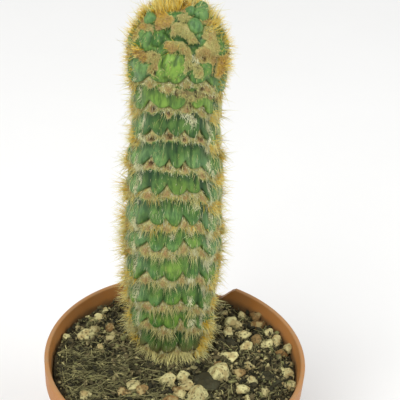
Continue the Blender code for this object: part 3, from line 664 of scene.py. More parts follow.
class StageSettings(bpy.types.PropertyGroup):
    floor: settings_colour((0.900, 0.900, 0.890), "Floor", "The colour of the floor")
    key_power: FloatProperty(name="Key light", description="Power of the large soft light", default=24.0,
                             min=0.0, unit="POWER")
    sky_strength: FloatProperty(name="Sky", description="Strength of the even light all round", default=0.62,
                                min=0.0)


def outline_curve():
    """The outline as arrays: its points of (height, radius), the run at each, and the outward way there."""
    points = [np.array(point) for point in STEM_OUTLINE]
    padded = [points[0], *points, points[-1]]
    curve = []
    for a, b, c, d in zip(padded, padded[1:], padded[2:], padded[3:]):
        for step in range(OUTLINE_STEPS):
            t = step / OUTLINE_STEPS
            square, cube = 2 * a - 5 * b + 4 * c - d, 3 * b - a - 3 * c + d
            curve.append(b + 0.5 * ((c - a) * t + square * t ** 2 + cube * t ** 3))
    curve = np.array([*curve, points[-1]])
    steps = np.diff(curve, axis=0)
    lengths = np.hypot(*steps.T)
    runs = np.concatenate([[0.0], np.cumsum(lengths)])
    along = np.vstack([steps / lengths[:, None], steps[-1:] / lengths[-1]])
    return curve, runs, np.stack([-along[:, 1], along[:, 0]], axis=1)


OUTLINE, RUNS, OUTWARD = outline_curve()
CROWN_RUN = RUNS[-1]


def run_at(height):
    return np.interp(height, OUTLINE[:, 0], RUNS)


def height_at(run):
    return np.interp(run, RUNS, OUTLINE[:, 0])


def radius_at(run):
    return np.interp(run, RUNS, OUTLINE[:, 1])


def surface(run, angle, rise):
    """Points on the stem at a run and an angle in radians, raised square to the outline."""
    height = height_at(run) + np.interp(run, RUNS, OUTWARD[:, 0]) * rise
    radius = np.maximum(0.0, radius_at(run) + np.interp(run, RUNS, OUTWARD[:, 1]) * rise)
    lean = STEM_FOOT.x + STEM_LEAN * (height - STEM_FOOT.z)
    return np.stack([lean + radius * np.sin(angle), STEM_FOOT.y - radius * np.cos(angle), height], axis=-1)


def rib_columns():
    """Each column's rib, how far on it is towards the next rib, and its angle in radians."""
    ribs = np.repeat(np.arange(len(RIB_ANGLES)), COLUMNS_PER_RIB)
    parts = np.tile(np.arange(COLUMNS_PER_RIB) / COLUMNS_PER_RIB, len(RIB_ANGLES))
    starts = np.array(RIB_ANGLES)
    widths = (np.roll(starts, -1) - starts) % 360.0
    return ribs, parts, np.radians(starts[ribs] + parts * widths[ribs])


RIB, PART, ANGLE = rib_columns()
NEXT_RIB = (RIB + 1) % len(RIB_ANGLES)
CLOSEST_RIB = np.where(PART < 0.5, RIB, NEXT_RIB)
# Each column's distance from the closest crest as a share of the way between two, and its closeness to it
TO_CREST = np.minimum(PART, 1.0 - PART)
CREST = np.abs(1.0 - 2.0 * PART)
# Each column's angle away from the front, in degrees
AWAY = np.abs((np.degrees(ANGLE) + 180.0) % 360.0 - 180.0)


def row_runs():
    """The run of each felt row, from the lowest."""
    runs = [float(run_at(height)) for height in ROW_HEIGHTS]
    for step in HEAD_STEPS:
        runs.append(runs[-1] + step)
    return runs


ROW_RUNS = row_runs()
ROW_SIZES = [1.0] + [min(1.0, (after - run) / FULL_STEP) for run, after in zip(ROW_RUNS, ROW_RUNS[1:])]


def row_line(row):
    """The run of the notch above a row's felt, over the columns: it peaks on crests and dips in grooves."""
    offsets = [random.Random(1000 * row + rib).uniform(-ROW_JITTER, ROW_JITTER)
               for rib in range(len(RIB_ANGLES))]
    shifts = np.array(RIB_SHIFTS) + np.array(offsets)
    shift = blend(shifts[RIB], shifts[NEXT_RIB], PART)
    height = height_at(ROW_RUNS[row])
    calm = blend(1.0, SCALLOP_CALM, smoothstep(*CALM_HEIGHTS, height))
    chance = random.Random(77 + row)
    peaks = np.array([chance.uniform(*PEAK_CHANGE) for _ in RIB_ANGLES])[CLOSEST_RIB]
    peak = SCALLOP * calm * (peaks * CREST ** SCALLOP_POWER - SCALLOP_MIDDLE)
    upright = 1.0 - smoothstep(*HEAD_HEIGHTS, height)
    drop = SIDE_DROP * (LOWEST_ROW_DROP if row == 0 else 1.0)
    slope = ROW_TILT * np.sin(ANGLE) + drop * smoothstep(*SIDE_DROP_ANGLES, AWAY)
    return ROW_RUNS[row] + ROW_SIZES[row] * (peak + shift) - slope * upright


LINES = [row_line(row) for row in range(len(ROW_RUNS))]
FELTS = [size * blend(FELT_IN_GROOVE, FELT_ON_CREST, CREST) for size in ROW_SIZES]


def cell_top(row):
    """Over the columns, the run where the cell above a row begins, under the next row's felt."""
    if row + 1 < len(LINES):
        return LINES[row + 1] - FELTS[row + 1]
    return np.full_like(ANGLE, CROWN_RUN)


def noise_of(points, size, seed=0.0):
    """Smooth noise at each point, from -1 to 1, over lumps of a size."""
    offset = Vector((seed, 2.0 * seed, 3.0 * seed))
    flat = [noise.noise(Vector(point) / size + offset) for point in points.reshape(-1, 3)]
    return np.array(flat).reshape(points.shape[:-1])


def felt_ring(row, t):
    """A ring over a row's felt, from its lower edge (t = 0) to the notch above it."""
    run = LINES[row] - FELTS[row] * (1.0 - t)
    puff = FELT_PUFF * ROW_SIZES[row] * blend(*PUFF_FROM_GROOVE, CREST ** 2)
    rise = blend(RIB_RISE * (2.0 * CREST - 1.0), -NOTCH_DEPTH, t) + puff * math.sin(math.pi * t) ** PUFF_POWER
    thin = BAND_THINNING * (1.0 - CREST) ** THINNING_POWER * (1.0 - smoothstep(0.0, THINNING_END, t))
    felt = np.full_like(ANGLE, blend(FELT_AT_EDGE, 1.0, smoothstep(0.0, FELT_FULL, t))) - thin
    shade = NOTCH_SHADE * smoothstep(NOTCH_SHADE_FROM, 1.0, t) * (1.0 - CREST)
    warm = bell(TO_CREST, WARM_WIDTH) * bell(t - WARM_MIDDLE, WARM_HEIGHT)
    edge = sum(bell(t - middle, width) for middle, width in PALE_EDGES)
    flank = bell(TO_CREST - PALE_FLANK[0], PALE_FLANK[1])
    edge = np.maximum(edge * np.exp(-(TO_CREST / PALE_WIDTH) ** 4), flank)
    return run, rise, felt, shade, warm, edge


def cell_ring(row, q, chances):
    """A ring over the cells above a row, from the chins (q = 1) up to the next row's felt (q = 0)."""
    run = blend(cell_top(row), LINES[row], q)
    chin = math.sqrt(1.0 - CHIN_CURL * max(0.0, (q - CHIN_ROUND) / (1.0 - CHIN_ROUND)) ** 2)
    bulge = CHIN_SWELL * q ** SWELL_POWER * chin
    relief = RIB_RISE * (2.0 * CREST - 1.0) * (1.0 - q)
    valley = bell(TO_CREST, VALLEY_WIDTH) * chances["valley"][row][CLOSEST_RIB] * q ** 0.5
    cleft = bell(PART - chances["middle"][row][RIB], CLEFT_WIDTH) * chances["depth"][row][RIB]
    cleft = cleft * (1.0 - q) ** CLEFT_POWER
    crest = bell(TO_CREST, CLEFT_WIDTH) * chances["crest"][row][RIB] * (1.0 - q)
    rise = bulge + relief - VALLEY_DEPTH * valley - CLEFT_DEPTH * (cleft + CREST_CLEFT * crest)
    felt = np.full_like(ANGLE, CELL_FELT * (1.0 - smoothstep(0.0, CELL_FELT_END, q)))
    darks = {"cleft": cleft, "crest": crest, "valley": valley, "roof": 1.0 - smoothstep(0.0, ROOF_END, q)}
    shade = sum(CELL_SHADES[name] * dark for name, dark in darks.items())
    zeros = np.zeros_like(ANGLE)
    return run, rise, felt, np.clip(shade, 0.0, 1.0), zeros, zeros


def stem_rings():
    """Every ring of the skin from the foot up, as arrays of run, rise, felt, shade, warmth and edge."""
    chance = random.Random(5)
    chances = {
        name: [np.array([chance.uniform(*span) for _ in RIB_ANGLES]) for _ in LINES]
        for name, span in CELL_CHANCES.items()
    }
    zeros = np.zeros_like(ANGLE)
    rings = [(zeros + run_at(height), zeros, zeros, zeros, zeros, zeros) for height in FOOT_HEIGHTS]
    for row, line in enumerate(LINES):
        rings += [felt_ring(row, step / FELT_RINGS) for step in range(FELT_RINGS)]
        notch = (-NOTCH_DEPTH, NOTCH_FELT, NOTCH_RING_SHADE, 0.0, 0.0)
        rings.append((line + CHIN_DROP, *(zeros + value for value in notch)))
        for step in range(CELL_RINGS):
            rings.append(cell_ring(row, 1.0 - (step / CELL_RINGS) ** CELL_POWER, chances))
    return [np.array(column) for column in zip(*rings)]


def apart(angle, degrees, run):
    """How far along the ring each point lies from an angle, in metres."""
    turn = (np.degrees(angle) - degrees + 180.0) % 360.0 - 180.0
    return np.radians(turn) * np.maximum(radius_at(run), SMALLEST_GIRTH)


def near_path(run, angle, path):
    """The distance from each point to a path of (angle, run)."""
    best = np.full(run.shape, 1.0)
    for (start, low), (end, high) in zip(path, path[1:]):
        across = apart(angle, start, run)
        way = np.stack([apart(np.radians(end), start, high) + 0.0 * run, high - low + 0.0 * run])
        place = np.stack([across, run - low])
        part = np.clip((place * way).sum(0) / (way * way).sum(0), 0.0, 1.0)
        best = np.minimum(best, np.hypot(*(place - part * way)))
    return best


def pad_mask(run, angle, pad, ragged=0.0):
    """A patch of (angle, run, half width, half height) with a soft edge."""
    degrees, middle, half_width, half_height = pad
    reach = np.hypot(apart(angle, degrees, run) / half_width, (run - middle) / half_height)
    return 1.0 - smoothstep(*PAD_EDGE, reach + ragged)


def head_relief(run, angle):
    """The uneven front of the head: rise, felt, shade, freshness and gold at each point."""
    rise = np.zeros_like(run)
    fresh = np.full_like(run, HEAD_FRESH)
    for degrees, middle, half_width, half_height, height, green in HEAD_LOBES:
        reach = (apart(angle, degrees, run) / half_width) ** 2 + ((run - middle) / half_height) ** 2
        bump = height * np.sqrt(np.clip(1.0 - reach, 0.0, 1.0))
        fresh = np.where(bump > rise, green, fresh)
        rise = np.maximum(rise, bump)
    felt = np.full_like(run, HEAD_FELT)
    gold = np.zeros_like(run)
    for *pad, golden in HEAD_PADS:
        mask = pad_mask(run, angle, pad)
        felt = np.maximum(felt, mask)
        gold = np.maximum(gold, golden * mask)
        rise = np.maximum(rise, PAD_RISE * mask)
    shade = np.zeros_like(run)
    for path, half_width, depth in HEAD_CLEFTS:
        cut = bell(near_path(run, angle, path), half_width)
        shade = np.maximum(shade, CUT_SHADE * cut)
        felt = felt * (1.0 - CUT_BARE * cut)
        rise = rise - depth * cut
    return rise, felt, shade, fresh, gold


def eyes():
    """The dark pits in the felt, as angle, run and radius: the head's, and some in the rows below it."""
    chance = random.Random(11)
    yield from HEAD_EYES
    for row in EYED_ROWS:
        for rib, degrees in enumerate(RIB_ANGLES):
            column = rib * COLUMNS_PER_RIB
            middle = LINES[row][column] - EYE_HEIGHT * FELTS[row][column]
            for _ in range(EYES_PER_AREOLE):
                aside, along = (chance.uniform(-reach, reach) for reach in EYE_SCATTER)
                yield degrees + aside, middle + along, AREOLE_EYE * chance.uniform(*EYE_SIZES)


def dig_eyes(run, angle, rise, shade):
    for degrees, middle, radius in eyes():
        pit = bell(np.hypot(apart(angle, degrees, run), run - middle), radius)
        shade = np.maximum(shade, np.minimum(1.0, EYE_DARKNESS * pit))
        rise = rise - EYE_DEPTH * radius * pit
    return rise, shade


def row_changes(run, away, fresh, shade, lumps):
    """Freshens and darkens the lobes above some rows."""
    for row, change in ROW_FRESHNESS:
        above = (run > LINES[row]) & (run < cell_top(row))
        fresh = np.where(above, np.clip(fresh + change, 0.0, 1.0), fresh)
    for row, change in ROW_SHADE:
        above = (run > LINES[row]) & (run < cell_top(row)) & (away < SHADED_FRONT)
        darker = shade + change * (LUMP_SHADE[0] + LUMP_SHADE[1] * lumps)
        shade = np.where(above, np.clip(darker, 0.0, 1.0), shade)
    return fresh, shade


def seams(run, angle, plain, bare):
    """The pale seams that run up the sides, in patches, and the webs of old wool."""
    seam = sum(bell(apart(angle, degrees, run), SEAM_WIDTH) for degrees in SEAM_ANGLES)
    seam = seam * bare * smoothstep(*SEAM_PATCHES, noise_of(plain, SEAM_PATCH, 12.0))
    for degrees, middle, radius in WEBS:
        web = bell(np.hypot(apart(angle, degrees, run), run - middle), radius)
        seam = np.maximum(seam, WEB_STRENGTH * web)
    return seam


def swayed_surface(run, angle, plain, rise):
    """The skin's points, with the lobes swayed along and across, and the rise faded out in the soil."""
    fade = smoothstep(*RELIEF_HEIGHTS, height_at(run))
    along, across = (
        fade * sum(reach * noise_of(plain, size, seed + size) for reach, size in SWAYS) for seed in SWAY_SEEDS
    )
    swayed_run = run + along * (run < CROWN_RUN - SWAY_INNER)
    return surface(swayed_run, angle + across / np.maximum(radius_at(run), SWAY_INNER), fade * rise)


@functools.lru_cache(maxsize=1)
def stem_surface():
    """The skin's points, and its masks by name, as arrays of ring by column."""
    run, rise, felt, shade, warm, edge = stem_rings()
    angle = np.broadcast_to(ANGLE, run.shape)
    away = np.broadcast_to(AWAY, run.shape)
    plain = surface(run, angle, 0.0)
    lumps = noise_of(plain, LUMP_SIZE)
    stale, *stale_angles = STALE_SIDES
    fresh = np.clip(0.5 + LUMP_FRESHNESS * lumps - stale * smoothstep(*stale_angles, away), 0.0, 1.0)
    fresh, shade = row_changes(run, away, fresh, shade, lumps)
    golden, *golden_angles = GOLDEN_SIDES
    gold = np.clip(golden * smoothstep(*golden_angles, away) * felt, 0.0, 1.0)
    front = 1.0 - smoothstep(*HEAD_ANGLES, away)
    zone = front * smoothstep(*HEAD_FADE, run - LINES[FIRST_HEAD_ROW])
    warp = [HEAD_WARP * noise_of(plain, size, seed) for size, seed in HEAD_WARPS]
    head = head_relief(run + warp[0] + 0.5 * warp[2], angle + (warp[1] + 0.5 * warp[3]) / HEAD_GIRTH)
    rise = blend(rise, HEAD_BASE + head[0], zone)
    felt, shade, gold = (blend(a, b, zone) for a, b in zip((felt, shade, gold), (head[1], head[2], head[4])))
    fresh = np.where((run > LINES[FIRST_HEAD_ROW]) & (front > 0.0), blend(fresh, head[3], front), fresh)
    warm, edge = warm * (1.0 - zone), edge * (1.0 - zone)
    for pad in BAND_PADS:
        mask = pad_mask(run, angle, pad, 0.3 * lumps)
        felt = np.maximum(felt, mask)
        rise = np.maximum(rise, BAND_PAD_RISE * mask)
        warm = np.maximum(warm, BAND_PAD_WARMTH * mask)
    crown = smoothstep(*CROWN_FELT_RUNS, run)
    felt, gold = np.maximum(felt, crown), np.maximum(gold, CROWN_GOLD * crown)
    rise, shade = dig_eyes(run, angle, rise, shade)
    wax = seams(run, angle, plain, 1.0 - zone)
    wool = noise_of(plain, WOOL_SIZE, 3.0) + FINE_WOOL[0] * noise_of(plain, FINE_WOOL[1] * WOOL_SIZE, 4.0)
    combed = noise_of(plain * RIDGE_STRETCH, RIDGE_SIZE, 6.0)
    rise = rise - SEAM_DEPTH * wax * (1.0 - felt) + WOOL_RISE * wool * felt
    rise = rise + LUMP_RISE * lumps + RIDGE_RISE * combed * (1.0 - felt)
    age = 1.0 - smoothstep(*AGED_HEIGHTS, height_at(run) + AGED_RAGGED * lumps)
    masks = {"felt": felt, "shade": shade, "fresh": fresh, "gold": gold, "wax": wax, "age": age, "warm": warm,
             "edge": edge}
    return swayed_surface(run, angle, plain, rise), masks


def turned(profile, steps):
    """A closed bmesh of a profile of (radius, height) that starts and ends on the axis."""
    bm = bmesh.new()
    verts = [bm.verts.new((radius, 0.0, height)) for radius, height in profile]
    edges = [bm.edges.new(pair) for pair in zip(verts, verts[1:])]
    bmesh.ops.spin(bm, geom=verts + edges, axis=(0, 0, 1), cent=(0, 0, 0), angle=math.tau, steps=steps,
                   use_merge=True)
    bmesh.ops.remove_doubles(bm, verts=bm.verts, dist=MERGE_DISTANCE)
    bmesh.ops.recalc_face_normals(bm, faces=bm.faces)
    return bm


def new_mesh(name, bm):
    """A mesh of the bmesh, which it frees."""
    mesh = bpy.data.meshes.new(name)
    bm.to_mesh(mesh)
    bm.free()
    return mesh


def new_object(name, bm, *materials):
    """An object of the bmesh, shaded smooth."""
    mesh = new_mesh(name, bm)
    for material in materials:
        mesh.materials.append(material)
    mesh.shade_smooth()
    obj = bpy.data.objects.new(name, mesh)
    bpy.context.scene.collection.objects.link(obj)
    return obj


def new_piece(name, bm, material, slot, *nodes):
    """A finished piece that rides on the part's body and may stand for some of its nodes."""
    piece = new_object(name, bm, material)
    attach(piece, BODY)
    if nodes:
        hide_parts(*nodes)
    return piece


def new_batch(*layers):
    """An empty bmesh with vertex masks of these names."""
    bm = bmesh.new()
    for name in layers:
        bm.verts.layers.float.new(name)
    return bm


class Batches:
    """Many small shapes of one piece, kept a few to a bmesh, because one large bmesh fills slowly."""

    def __init__(self, size, *layers):
        self.size = size
        self.layers = layers
        self.count = 0
        self.batches = []

    def open(self):
        """The bmesh that takes the next shape."""
        if self.count % self.size == 0:
            self.batches.append(new_batch(*self.layers))
        self.count += 1
        return self.batches[-1]

    def gathered(self):
        """One bmesh of all of them."""
        bm = bmesh.new()
        for batch in self.batches:
            mesh = new_mesh("batch", batch)
            bm.from_mesh(mesh)
            bpy.data.meshes.remove(mesh)
        return bm


def needle_template(sides, rings, end_radius=0.0):
    """A needle of unit length up Z and unit radius at its foot."""
    bm = bmesh.new()
    bmesh.ops.create_cone(bm, cap_ends=True, segments=sides, radius1=1.0, radius2=end_radius, depth=1.0)
    bmesh.ops.translate(bm, verts=bm.verts, vec=(0.0, 0.0, 0.5))
    if rings:
        long_edges = [edge for edge in bm.edges if abs(edge.verts[0].co.z - edge.verts[1].co.z) > 0.5]
        bmesh.ops.subdivide_edges(bm, edges=long_edges, cuts=rings, use_grid_fill=True)
    bmesh.ops.recalc_face_normals(bm, faces=bm.faces)
    return new_mesh("needle", bm)


def lump_template(subdivisions, planes=()):
    """A ball of unit size, with a facet where a plane cuts it."""
    bm = bmesh.new()
    bmesh.ops.create_icosphere(bm, subdivisions=subdivisions, radius=0.5)
    for vert in bm.verts:
        vert.co = 0.5 * faceted(2.0 * vert.co, planes)
    return new_mesh("lump", bm)


def add_copy(bm, mesh):
    """Adds a copy of the mesh and gives its vertices."""
    start = len(bm.verts)
    bm.from_mesh(mesh)
    bm.verts.ensure_lookup_table()
    return bm.verts[start:]


def add_strand(bm, mesh, base, way, length, radius, bend, tone):
    """A needle, hair or fibre from a base along a way, bent aside towards its tip."""
    side = way.orthogonal().normalized()
    other = way.cross(side)
    tone_layer = bm.verts.layers.float["tone"]
    tip_layer = bm.verts.layers.float["tip"]
    for vert in add_copy(bm, mesh):
        t = vert.co.z
        across = (side * vert.co.x + other * vert.co.y) * radius
        vert[tone_layer] = tone
        vert[tip_layer] = t
        vert.co = base + way * (length * t) + bend * (t * t) + across


def add_lump(bm, mesh, place, size, rough, seed, tone):
    """A rough lump of a size, turned and placed by a matrix."""
    tone_layer = bm.verts.layers.float["tone"]
    offset = seed * LUMP_SEED
    for vert in add_copy(bm, mesh):
        lump = 1.0 + sum(share * rough * noise.noise(vert.co * scale + offset) for share, scale in LUMP_NOISE)
        vert.co = place @ Vector(a * b * lump for a, b in zip(vert.co, size))
        vert[tone_layer] = tone


def facet_planes(chance, bite):
    """Random planes through a unit ball, each as a way and its distance, that cut facets off it."""
    planes = []
    for _ in range(FACETS):
        way = Vector(chance.gauss(0.0, 1.0) for _ in range(3)).normalized()
        planes.append((way, 1.0 - chance.uniform(*bite)))
    return planes


def faceted(point, planes):
    """The point pressed back onto every plane that it is past."""
    for way, distance in planes:
        past = point.dot(way) - distance
        if past > 0.0:
            point = point - way * past
    return point


def rock_templates(chance, subdivisions, count):
    """Balls of unit size with facets broken off them."""
    return [lump_template(subdivisions, facet_planes(chance, FACET_BITE)) for _ in range(count)]


def any_turn(chance):
    """A random turn about a random axis."""
    axis = Vector((chance.uniform(-1, 1), chance.uniform(-1, 1), chance.uniform(-1, 1) + 1e-3)).normalized()
    return Matrix.Rotation(chance.uniform(0.0, math.tau), 4, axis)


class NodeTree:
    """A node tree with short calls that add a node, set it and join it."""

    def __init__(self, tree):
        self.tree = tree
        self.nodes = tree.nodes

    def add(self, kind, inputs=None, **settings):
        node = self.nodes.new(kind)
        for name, value in settings.items():
            setattr(node, name, value)
        for name, value in (inputs or {}).items():
            self.join(value, node.inputs[name])
        return node

    def join(self, value, socket):
        """Links an output to the socket, or sets its value."""
        if isinstance(value, bpy.types.NodeSocket):
            self.tree.links.new(value, socket)
        elif isinstance(value, (tuple, list)) and socket.type == "RGBA" and len(value) == 3:
            socket.default_value = (*value, 1.0)
        else:
            socket.default_value = value

    def place(self):
        return self.add("ShaderNodeTexCoord").outputs["Object"]

    def axes(self, vector):
        """The X, Y and Z of a vector."""
        return self.add("ShaderNodeSeparateXYZ", {"Vector": vector}).outputs

    def facing_up(self):
        return self.axes(self.add("ShaderNodeNewGeometry").outputs["Normal"])["Z"]

    def mask(self, name):
        """A mask that the mesh carries."""
        return self.add("ShaderNodeAttribute", attribute_name=name).outputs["Fac"]

    def noise(self, scale, detail=4.0, roughness=0.6, vector=None):
        node = self.add("ShaderNodeTexNoise", {"Scale": scale, "Detail": detail, "Roughness": roughness})
        self.join(vector or self.place(), node.inputs["Vector"])
        return node.outputs["Fac"]

    def math(self, operation, *values, clamp=False):
        node = self.add("ShaderNodeMath", operation=operation, use_clamp=clamp)
        for index, value in enumerate(values):
            self.join(value, node.inputs[index])
        return node.outputs[0]

    def times(self, first, second):
        return self.math("MULTIPLY", first, second)

    def ramp(self, value, low, high, to_low=0.0, to_high=1.0):
        """The value eased from one range to another."""
        node = self.add("ShaderNodeMapRange", interpolation_type="SMOOTHSTEP")
        for index, number in enumerate((value, low, high, to_low, to_high)):
            self.join(number, node.inputs[index])
        return node.outputs[0]

    def patches(self, scale, detail, low, high, strength=1.0):
        """Soft patches of noise, up to a strength."""
        return self.ramp(self.noise(scale, detail), low, high, 0.0, strength)

    def mix(self, part, first, second):
        """One colour mixed with another."""
        node = self.add("ShaderNodeMix", data_type="RGBA")
        self.join(part, node.inputs[0])
        self.join(first, node.inputs[6])
        self.join(second, node.inputs[7])
        return node.outputs[2]

    def tint(self, colour, other, mask, strength):
        """A colour mixed with another by a mask, up to a strength."""
        return self.mix(self.times(mask, strength), colour, other)

    def toned(self, tone, colour, changes):
        """A colour that changes with the tone, by rows of (from, to, colour)."""
        for low, high, other in changes:
            colour = self.mix(self.ramp(tone, low, high), colour, other)
        return colour

    def group(self, name, output, **values):
        node = self.add("ShaderNodeGroup", values, node_tree=bpy.data.node_groups[name])
        return node.outputs[output]

    def mottle(self, first, second, scale, contrast=1.0):
        return self.group("Mottle", "Color", First=first, Second=second, Scale=scale, Contrast=contrast)

    def pored(self, colour, pores, strength, scale, contrast=1.0):
        """A colour mottled with a darker mix of itself and its pores."""
        return self.mottle(self.mix(strength, colour, pores), colour, scale, contrast)

    def dusted(self, colour, dust, amount, scale):
        return self.group("Dust", "Color", Base=colour, Dust=dust, Amount=amount, Scale=scale)

    def grain(self, scale, fineness):
        return self.group("Grain", "Height", Scale=scale, Fineness=fineness)


def new_group(name, inputs, *outputs):
    """An empty shader group with inputs of (name, kind, default) and outputs of (name, kind)."""
    group = bpy.data.node_groups.new(name, "ShaderNodeTree")
    for socket_name, kind, default in inputs:
        socket = group.interface.new_socket(socket_name, in_out="INPUT", socket_type=f"NodeSocket{kind}")
        socket.default_value = default
    for socket_name, kind in outputs:
        group.interface.new_socket(socket_name, in_out="OUTPUT", socket_type=f"NodeSocket{kind}")
    tree = NodeTree(group)
    return tree, tree.add("NodeGroupInput").outputs, tree.add("NodeGroupOutput").inputs


def build_mottle_group():
    """Mottle: two colours in soft patches of a size."""
    inputs = (("First", "Color", (0, 0, 0, 1)), ("Second", "Color", (1, 1, 1, 1)), ("Scale", "Float", 100.0),
              ("Contrast", "Float", 1.0))
    tree, given, out = new_group("Mottle", inputs, ("Color", "Color"))
    patches = tree.math("SUBTRACT", tree.noise(given["Scale"], 5.0, 0.65), 0.5)
    spread = tree.times(patches, tree.times(given["Contrast"], 2.5))
    mask = tree.math("ADD", spread, 0.5, clamp=True)
    tree.join(tree.mix(mask, given["First"], given["Second"]), out["Color"])


def build_grain_group():
    """Grain: a height of coarse and fine grains together."""
    inputs = (("Scale", "Float", 800.0), ("Fineness", "Float", 3.0))
    tree, given, out = new_group("Grain", inputs, ("Height", "Float"))
    coarse = tree.noise(given["Scale"], 3.0, 0.55)
    fine = tree.noise(tree.times(given["Scale"], given["Fineness"]), 2.0, 0.5)
    tree.join(tree.math("ADD", coarse, tree.times(fine, 0.5)), out["Height"])


def build_dust_group():
    """Dust: a colour laid over another where the surface faces up, in patches."""
    inputs = (("Base", "Color", (0, 0, 0, 1)), ("Dust", "Color", (1, 1, 1, 1)), ("Amount", "Float", 0.3),
              ("Scale", "Float", 300.0))
    tree, given, out = new_group("Dust", inputs, ("Color", "Color"))
    patches = tree.ramp(tree.noise(given["Scale"], 5.0, 0.7), 0.35, 0.7)
    settled = tree.times(tree.ramp(tree.facing_up(), -0.2, 0.9), tree.times(patches, given["Amount"]))
    tree.join(tree.mix(settled, given["Base"], given["Dust"]), out["Color"])


def new_material(name, roughness=0.5, specular=0.3):
    """A material, its node tree and its shader, with its constants set on the shader's sockets."""
    material = bpy.data.materials.new(name)
    material.use_nodes = True
    tree = NodeTree(material.node_tree)
    shader = tree.nodes["Principled BSDF"]
    shader.inputs["Roughness"].default_value = roughness
    shader.inputs["Specular IOR Level"].default_value = specular
    return material, tree, shader


def finish_material(tree, shader, colour, height=None, strength=1.0, distance=0.0004):
    """Gives the shader its colour, and a bump of a height."""
    tree.join(colour, shader.inputs["Base Color"])
    if height:
        bump = tree.add("ShaderNodeBump", {"Strength": strength, "Distance": distance, "Height": height})
        tree.join(bump.outputs["Normal"], shader.inputs["Normal"])


def green_skin(tree, plant, fresh, shade):
    """Green lobes with combed streaks, a waxy bloom in the seams, and old brown skin in the soil."""
    blue, young = tree.ramp(fresh, 0.0, 0.5, 1.0, 0.0), tree.ramp(fresh, 0.5, 1.0)
    green = tree.mix(blue, tuple(plant.skin), tuple(plant.bloomed_skin))
    green = tree.mix(young, green, tuple(plant.young_skin))
    green = tree.mottle(tree.mix(0.30, green, DEEP_GREEN), tree.mix(0.28, green, SUNLIT_GREEN), 260.0, 1.3)
    stretched = tree.add("ShaderNodeMapping", {"Vector": tree.place(), "Scale": (1.0, 1.0, 0.16)})
    streaks = tree.ramp(tree.noise(820.0, 3.0, 0.6, stretched.outputs["Vector"]), 0.45, 0.62, 0.0, 0.78)
    green = tree.mix(streaks, green, tree.mix(0.6, green, STREAK_GREEN))
    green = tree.tint(green, SHADED_GREEN, shade, 0.94)
    green = tree.tint(green, WAX, tree.mask("wax"), tree.patches(1500.0, 4.0, 0.50, 0.60, 0.75))
    return tree.tint(green, tree.mottle(*OLD_SKIN, 500.0), tree.mask("age"), 0.8)


def tan_felt(tree, plant, felt, shade):
    """Tan felt with rusty and olive patches, pale edges, fine pores and dark pits."""
    tan = tree.mottle(tuple(plant.felt), PALE_FELT, 420.0, 1.6)
    tan = tree.mix(tree.patches(170.0, 2.0, 0.46, 0.62, 0.70), tan, RUSTY_FELT)
    tan = tree.mix(tree.patches(240.0, 2.0, 0.50, 0.64, 0.25), tan, OLIVE_FELT)
    tan = tree.tint(tan, WARM_FELT, tree.mask("warm"), 0.80)
    head = tree.ramp(tree.axes(tree.place())["Z"], 0.222, 0.232)
    olive = tree.times(head, tree.patches(310.0, 2.0, 0.42, 0.56))
    tan = tree.tint(tan, HEAD_FELT_OLIVE, olive, 0.75)
    tan = tree.tint(tan, GOLDEN_FELT, tree.mask("gold"), 0.9)
    edge = tree.ramp(tree.mask("edge"), 0.2, 0.9)
    edge = tree.math("ADD", tree.ramp(felt, 0.55, 0.95, 1.0, 0.0), edge, clamp=True)
    tan = tree.tint(tan, FELT_EDGE, edge, 0.70)
    pores = tree.ramp(tree.noise(2100.0, 2.0), 0.40, 0.60, 0.35, 0.0)
    tan = tree.mix(pores, tan, tree.mix(0.7, tan, FELT_PORES))
    return tree.tint(tan, SHADED_FELT, shade, 0.92)


def skin_material():
    """Green skin under tan and golden felt with ragged edges."""
    plant = bpy.context.scene.trichocereus_plant
    material, tree, shader = new_material("skin_and_felt")
    shade, felt, fresh = tree.mask("shade"), tree.mask("felt"), tree.mask("fresh")
    wisps = tree.noise(900.0, 3.0)
    ragged = tree.math("ADD", felt, tree.times(tree.math("SUBTRACT", wisps, 0.5), 1.3))
    felted = tree.ramp(ragged, 0.40, 0.60)
    tree.join(tree.ramp(felted, 0.0, 1.0, 0.45, 0.95), shader.inputs["Roughness"])
    height = tree.math("ADD", tree.times(tree.grain(1900.0, 2.5), felted), tree.times(wisps, 0.2))
    colour = tree.mix(felted, green_skin(tree, plant, fresh, shade), tan_felt(tree, plant, felt, shade))
    finish_material(tree, shader, colour, height, 1.0, 0.0008)
    return material


def spine_material():
    """Needles: grey, straw, yellow or deep gold by their tone, and paler towards their tips."""
    plant = bpy.context.scene.trichocereus_plant
    material, tree, shader = new_material("spine", roughness=0.55, specular=0.15)
    tone, tip = tree.mask("tone"), tree.mask("tip")
    aged = tree.mix(tree.ramp(tip, 0.2, 0.9), *AGED_SPINE)
    colour = tree.toned(tone, aged, ((0.02, 0.20, tuple(plant.straw)), (0.45, 0.90, tuple(plant.gold))))
    pale = tree.times(tree.ramp(tip, 0.15, 0.80), tree.ramp(tone, 0.45, 0.75, 0.70, 0.22))
    colour = tree.mix(pale, colour, tree.mix(tree.ramp(tone, 0.40, 0.70), *SPINE_TIPS))
    colour = tree.mix(tree.ramp(tip, 0.0, 0.22, 0.35, 0.0), colour, SPINE_FOOT)
    finish_material(tree, shader, colour)
    return material


def hair_material():
    """Hairs of the felt: white, cream, tan or gold by their tone, and darker at their feet."""
    material, tree, shader = new_material("wool", roughness=0.9)
    colour = tree.toned(tree.mask("tone"), WHITE_WOOL, WOOL_TONES)
    colour = tree.mix(tree.ramp(tree.mask("tip"), 0.0, 0.5, 0.35, 0.0), colour, WOOL_FOOT)
    finish_material(tree, shader, colour)
    return material


